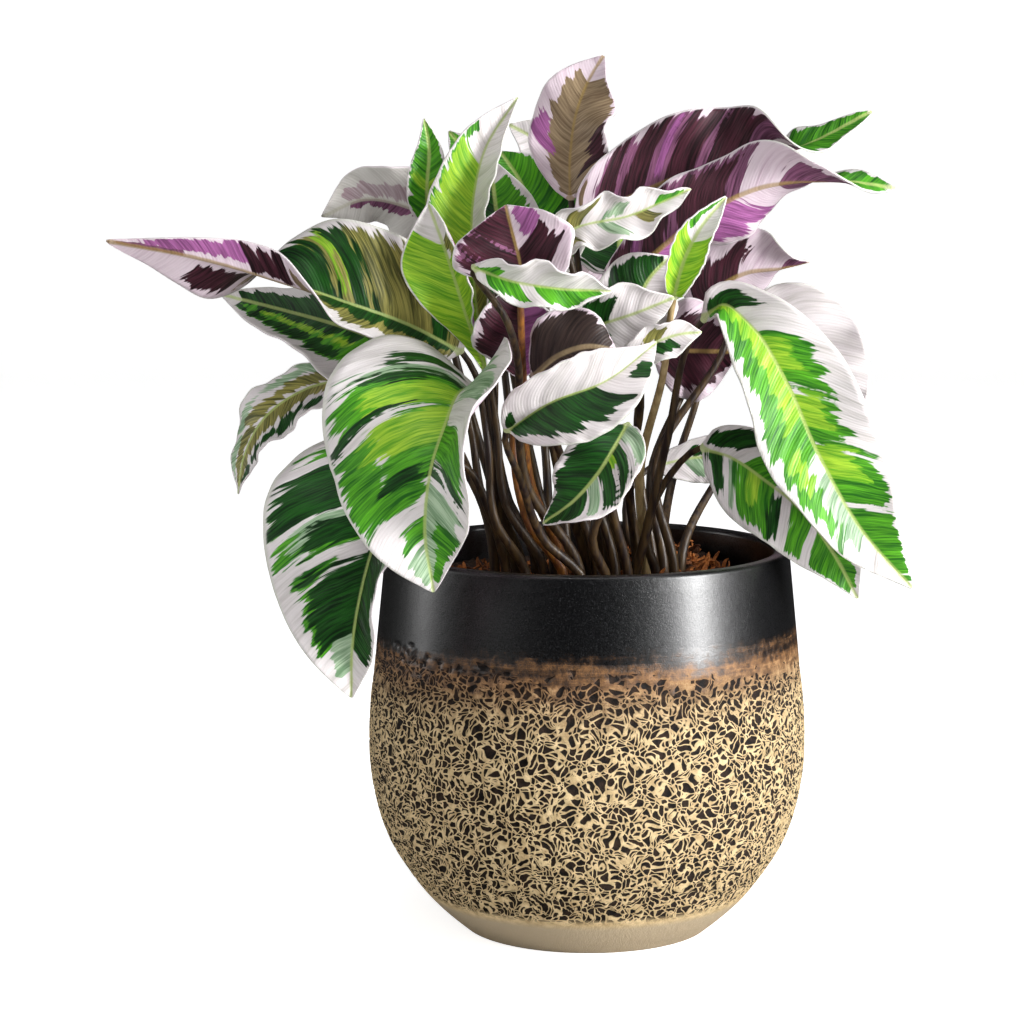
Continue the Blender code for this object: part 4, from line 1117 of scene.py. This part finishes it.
def chip_shapes(chance):
    """A few curled splinters of husk: each a bent, twisted strip with a wall."""
    shapes = []
    for _ in range(6):
        deselect_all()
        bpy.ops.mesh.primitive_grid_add(x_subdivisions=6, y_subdivisions=1, size=1)
        chip = bpy.context.object
        length, width = chance.uniform(7, 15), chance.uniform(1.4, 3.2)
        curl, twist = math.radians(chance.uniform(30, 150)), math.radians(chance.uniform(-60, 60))
        for vertex in chip.data.vertices:
            along, side = vertex.co.x, vertex.co.y * width * (1 - 0.9 * abs(2 * vertex.co.x) ** 3)
            angle = curl * along
            turn = twist * along
            bow = length / curl
            rise = bow * (1 - math.cos(angle)) + side * math.sin(turn)
            vertex.co = Vector((bow * math.sin(angle), side * math.cos(turn), rise)) * MM
        wall = chip.modifiers.new("Wall", "SOLIDIFY")
        wall.thickness, wall.offset = CHIP_WALL * MM, 0
        bpy.ops.object.modifier_apply(modifier=wall.name)
        points = np.array([vertex.co for vertex in chip.data.vertices])
        shapes.append((points, [tuple(face.vertices) for face in chip.data.polygons]))
        bpy.data.objects.remove(chip)
    return shapes


def turn_matrix(axis, angle):
    """The matrix that turns points about an axis, 0 to 2 for X to Z."""
    first, second = (axis + 1) % 3, (axis + 2) % 3
    matrix = np.eye(3)
    matrix[first, first] = matrix[second, second] = math.cos(angle)
    matrix[second, first] = math.sin(angle)
    matrix[first, second] = -math.sin(angle)
    return matrix


def turned_points(points, chance, tilt):
    """The points at a random heading, tipped by up to `tilt` radians."""
    heading = turn_matrix(2, chance.uniform(0, 2 * math.pi))
    lean = turn_matrix(1, chance.uniform(-tilt, tilt))
    roll = turn_matrix(0, chance.uniform(0, 2 * math.pi))
    return points @ (heading @ lean @ roll).T


def scatter_chips(name, count, seed):
    """One mesh of chips strewn over the bed."""
    chance = random.Random(seed)
    shapes = chip_shapes(chance)
    points, faces, tints = [], [], []
    first = 0
    while len(tints) < count:
        x, y = chance.uniform(-78, 78), chance.uniform(-78, 78)
        near_heap = math.exp(-(((x - HEAP_X) / 34) ** 2) - ((y - 48) / 30) ** 2)
        if math.hypot(x, y) > CHIP_REACH or chance.random() > 0.35 + near_heap:
            continue
        shape, shape_faces = chance.choice(shapes)
        moved = turned_points(shape * chance.uniform(0.6, 1.15), chance, 0.9)
        lift = mulch_height(x, y) + chance.uniform(-0.5, 2.5)
        moved = moved + np.array((x, y, lift)) * MM
        if np.hypot(moved[:, 0], moved[:, 1]).max() > CHIP_LIMIT * MM:
            continue
        points.append(moved)
        faces += [tuple(index + first for index in face) for face in shape_faces]
        tints.append((chance.random(), len(moved)))
        first += len(moved)
    mesh = bpy.data.meshes.new(name)
    mesh.from_pydata(np.concatenate(points).tolist(), [], faces)
    values, sizes = zip(*tints)
    add_values(mesh, "tint", np.repeat(values, sizes))
    piece = bpy.data.objects.new(name, mesh)
    bpy.context.scene.collection.objects.link(piece)
    return piece


def mulch_material(name, light, deep, tinted):
    material, tree, shader = new_material(name)
    place = tree.node("ShaderNodeTexCoord").outputs["Object"]
    fibre = tree.noise(tree.vector("MULTIPLY", place, (500, 1500, 900)), 1.0, 3.0, 0.65)
    colour = tree.mix(tree.range(fibre, 0.3, 0.7), light, deep)
    if tinted:
        tint = tree.node("ShaderNodeAttribute", attribute_name="tint").outputs["Fac"]
        colour = tree.mix(tree.range(tint, 0.35, 1.0), colour, CHIP_DARK)
    finish_surface(tree, shader, colour, tree.range(fibre, 0.3, 0.7, 0.8, 0.95), fibre, 0.0006)
    return material


class PLANT_OT_mulch(bpy.types.Operator):
    """Fills the pot with husk chips on an uneven bed"""

    bl_idname = "plant.mulch"
    bl_label = "Mulch"

    def execute(self, context):
        settings = context.scene.prayer_mulch
        bed = mulch_bed()
        # The bed's near-black colour: dark mulch, and painted shade inside the pot.
        bed.data.materials.append(mulch_material("Dark mulch bed", *BED_AND_SHADE_COLOURS, tinted=False))
        set_in_place(bed, "soil")
        chips = scatter_chips("mulch_chips", settings.chips, settings.seed)
        chips.data.materials.append(mulch_material("Coir chips", *CHIP_COLOURS, tinted=True))
        set_in_place(chips, None)
        return {"FINISHED"}


# Stage.


def stage_material(name, colour):
    """A pale floor whose bounce light is held down, so that the dark glaze stays dark."""
    material, tree, shader = new_material(name)
    place = tree.node("ShaderNodeTexCoord").outputs["Object"]
    shade = tree.range(tree.noise(place, 3.0), 0.3, 0.7)
    seen = tree.mix(shade, colour, tuple(0.985 * value for value in colour))
    rays = tree.node("ShaderNodeLightPath").outputs
    camera = rays["Is Camera Ray"]
    bounced = tree.mix(rays["Is Glossy Ray"], (0.72, 0.72, 0.71), (0.03, 0.03, 0.03))
    finish_surface(tree, shader, tree.mix(camera, bounced, seen), 0.9)
    shader.inputs["Specular IOR Level"].default_value = 0
    tree.put(shader.inputs["Emission Color"], (1, 1, 1, 1))
    tree.put(shader.inputs["Emission Strength"], tree.math("MULTIPLY", camera, FLOOR_GLOW))
    return material


def add_world(ambient):
    """White where the camera sees it, and dimmer as a light."""
    world = bpy.data.worlds.new("Studio")
    world.use_nodes = True
    tree = Tree(world.node_tree)
    background = world.node_tree.nodes["Background"]
    background.inputs["Color"].default_value = (1, 1, 1, 1)
    rays = tree.node("ShaderNodeLightPath").outputs
    strength = tree.range(rays["Is Glossy Ray"], 0.0, 1.0, ambient, 0.02)
    tree.put(background.inputs["Strength"], tree.math("MAXIMUM", strength, rays["Is Camera Ray"]))
    bpy.context.scene.world = world


def add_backdrop(settings):
    """A pale floor that curves up into a wall all round."""
    deselect_all()
    bpy.ops.mesh.primitive_circle_add(vertices=128, radius=BACKDROP_RADIUS, fill_type="NGON")
    floor = bpy.context.object
    floor.name = floor.data.name = "backdrop"
    bpy.ops.object.mode_set(mode="EDIT")
    bpy.ops.mesh.select_all(action="SELECT")
    bpy.ops.mesh.select_mode(type="EDGE")
    radius = BACKDROP_RADIUS
    for step in range(1, SWEEP_STEPS + 1):
        angle = math.radians(SWEEP_TURN * step)
        rise = BACKDROP_SWEEP * (math.cos(angle - math.radians(SWEEP_TURN)) - math.cos(angle))
        wider = BACKDROP_RADIUS + BACKDROP_SWEEP * math.sin(angle)
        bpy.ops.mesh.extrude_region_move(TRANSFORM_OT_translate={"value": (0, 0, rise)})
        bpy.ops.transform.resize(value=(wider / radius, wider / radius, 1))
        radius = wider
    bpy.ops.mesh.extrude_region_move(TRANSFORM_OT_translate={"value": (0, 0, BACKDROP_WALL)})
    bpy.ops.mesh.delete(type="ONLY_FACE")
    bpy.ops.mesh.select_all(action="SELECT")
    bpy.ops.mesh.normals_make_consistent(inside=False)
    bpy.ops.object.mode_set(mode="OBJECT")
    bpy.ops.object.shade_smooth()
    floor.data.materials.append(stage_material("Pale backdrop", settings.floor_colour))


def add_light(name, place, aim, size, watts, glossy):
    deselect_all()
    bpy.ops.object.light_add(type="AREA", location=place)
    light = bpy.context.object
    light.name = name
    light.rotation_euler = (Vector(aim) - Vector(place)).to_track_quat("-Z", "Y").to_euler()
    light.data.shape = "RECTANGLE"
    light.data.size, light.data.size_y = size
    light.data.energy = watts
    light.visible_glossy = glossy


def add_camera():
    bpy.ops.object.camera_add(location=CAMERA_PLACE, rotation=(math.radians(90 - CAMERA_PITCH), 0, 0))
    camera = bpy.context.object
    camera.data.lens = CAMERA_LENS
    camera.data.sensor_width = 36
    bpy.context.scene.camera = camera


class PLANT_OT_stage(bpy.types.Operator):
    """Adds the pale backdrop, the studio lights and the camera"""

    bl_idname = "plant.stage"
    bl_label = "Stage"

    def execute(self, context):
        settings = context.scene.prayer_stage
        add_backdrop(settings)
        add_world(settings.ambient)
        context.scene.view_settings.view_transform = "Standard"
        for name, (place, aim, size, setting, share, glossy) in LIGHTS.items():
            add_light(name, place, aim, size, share * getattr(settings, setting), glossy)
        add_camera()
        return {"FINISHED"}


# Settings, panel and running.


def colour_setting(name, description, default):
    return bpy.props.FloatVectorProperty(name=name, description=description, default=default, subtype="COLOR")


def watts_setting(name, description, default):
    return bpy.props.FloatProperty(name=name, description=description, default=default, unit="POWER")


class PotSettings(bpy.types.PropertyGroup):
    segments: bpy.props.IntProperty(name="Segments", description="Points round the pot", default=480, min=48)
    clay_colour: colour_setting("Clay", "Bare clay", (0.74, 0.57, 0.32))
    clay_dark: colour_setting("Clay mottle", "Darker mottle of the clay", (0.48, 0.34, 0.17))
    foot_colour: colour_setting("Foot", "Plain clay of the foot", (0.50, 0.40, 0.27))


class MulchSettings(bpy.types.PropertyGroup):
    chips: bpy.props.IntProperty(name="Chips", description="Husk chips on the bed", default=900, min=1)
    seed: bpy.props.IntProperty(name="Seed", description="Seed of the chips' places", default=4)


class StageSettings(bpy.types.PropertyGroup):
    floor_colour: colour_setting("Floor", "Colour of the floor and wall", (0.93, 0.93, 0.93))
    ambient: bpy.props.FloatProperty(
        name="Ambient", description="Strength of the white surroundings", default=0.2)
    key_watts: watts_setting("Key light", "Softbox at the right", 12)
    strip_watts: watts_setting("Strip lights", "Low strips that shine on the glaze", 32)
    fill_watts: watts_setting("Fill light", "Softbox at the left", 7)
    top_watts: watts_setting("Top light", "Softbox overhead", 12)
    front_watts: watts_setting("Front light", "Softbox over the camera", 7)
    low_watts: watts_setting("Low light", "Softbox that lights the pot, without a shine", 7)


class PLANT_PT_panel(bpy.types.Panel):
    """Lists the builders and their settings"""

    bl_label = "Prayer plant"
    bl_idname = "PLANT_PT_panel"
    bl_space_type = "VIEW_3D"
    bl_region_type = "UI"
    bl_category = "Prayer plant"

    def draw(self, context):
        for builder, group in BUILDERS:
            box = self.layout.box()
            box.operator(builder.bl_idname)
            if group:
                settings = getattr(context.scene, group)
                for name in settings.bl_rna.properties.keys():
                    if name not in ("rna_type", "name"):
                        box.prop(settings, name)


BUILDERS = (
    (PLANT_OT_stage, "prayer_stage"),
    (PLANT_OT_pot, "prayer_pot"),
    (PLANT_OT_mulch, "prayer_mulch"),
    (PLANT_OT_leaves, None),
)
SETTINGS = {"prayer_pot": PotSettings, "prayer_mulch": MulchSettings, "prayer_stage": StageSettings}
CLASSES = (*SETTINGS.values(), *(builder for builder, _ in BUILDERS), PLANT_PT_panel)


def register():
    for each in CLASSES:
        bpy.utils.register_class(each)
    for name, group in SETTINGS.items():
        setattr(bpy.types.Scene, name, bpy.props.PointerProperty(type=group))


def unregister():
    for name in SETTINGS:
        delattr(bpy.types.Scene, name)
    for each in reversed(CLASSES):
        bpy.utils.unregister_class(each)


def main():
    register()
    for builder, _ in BUILDERS:
        namespace, name = builder.bl_idname.split(".")
        getattr(getattr(bpy.ops, namespace), name)()


if __name__ == "__main__":
    main()
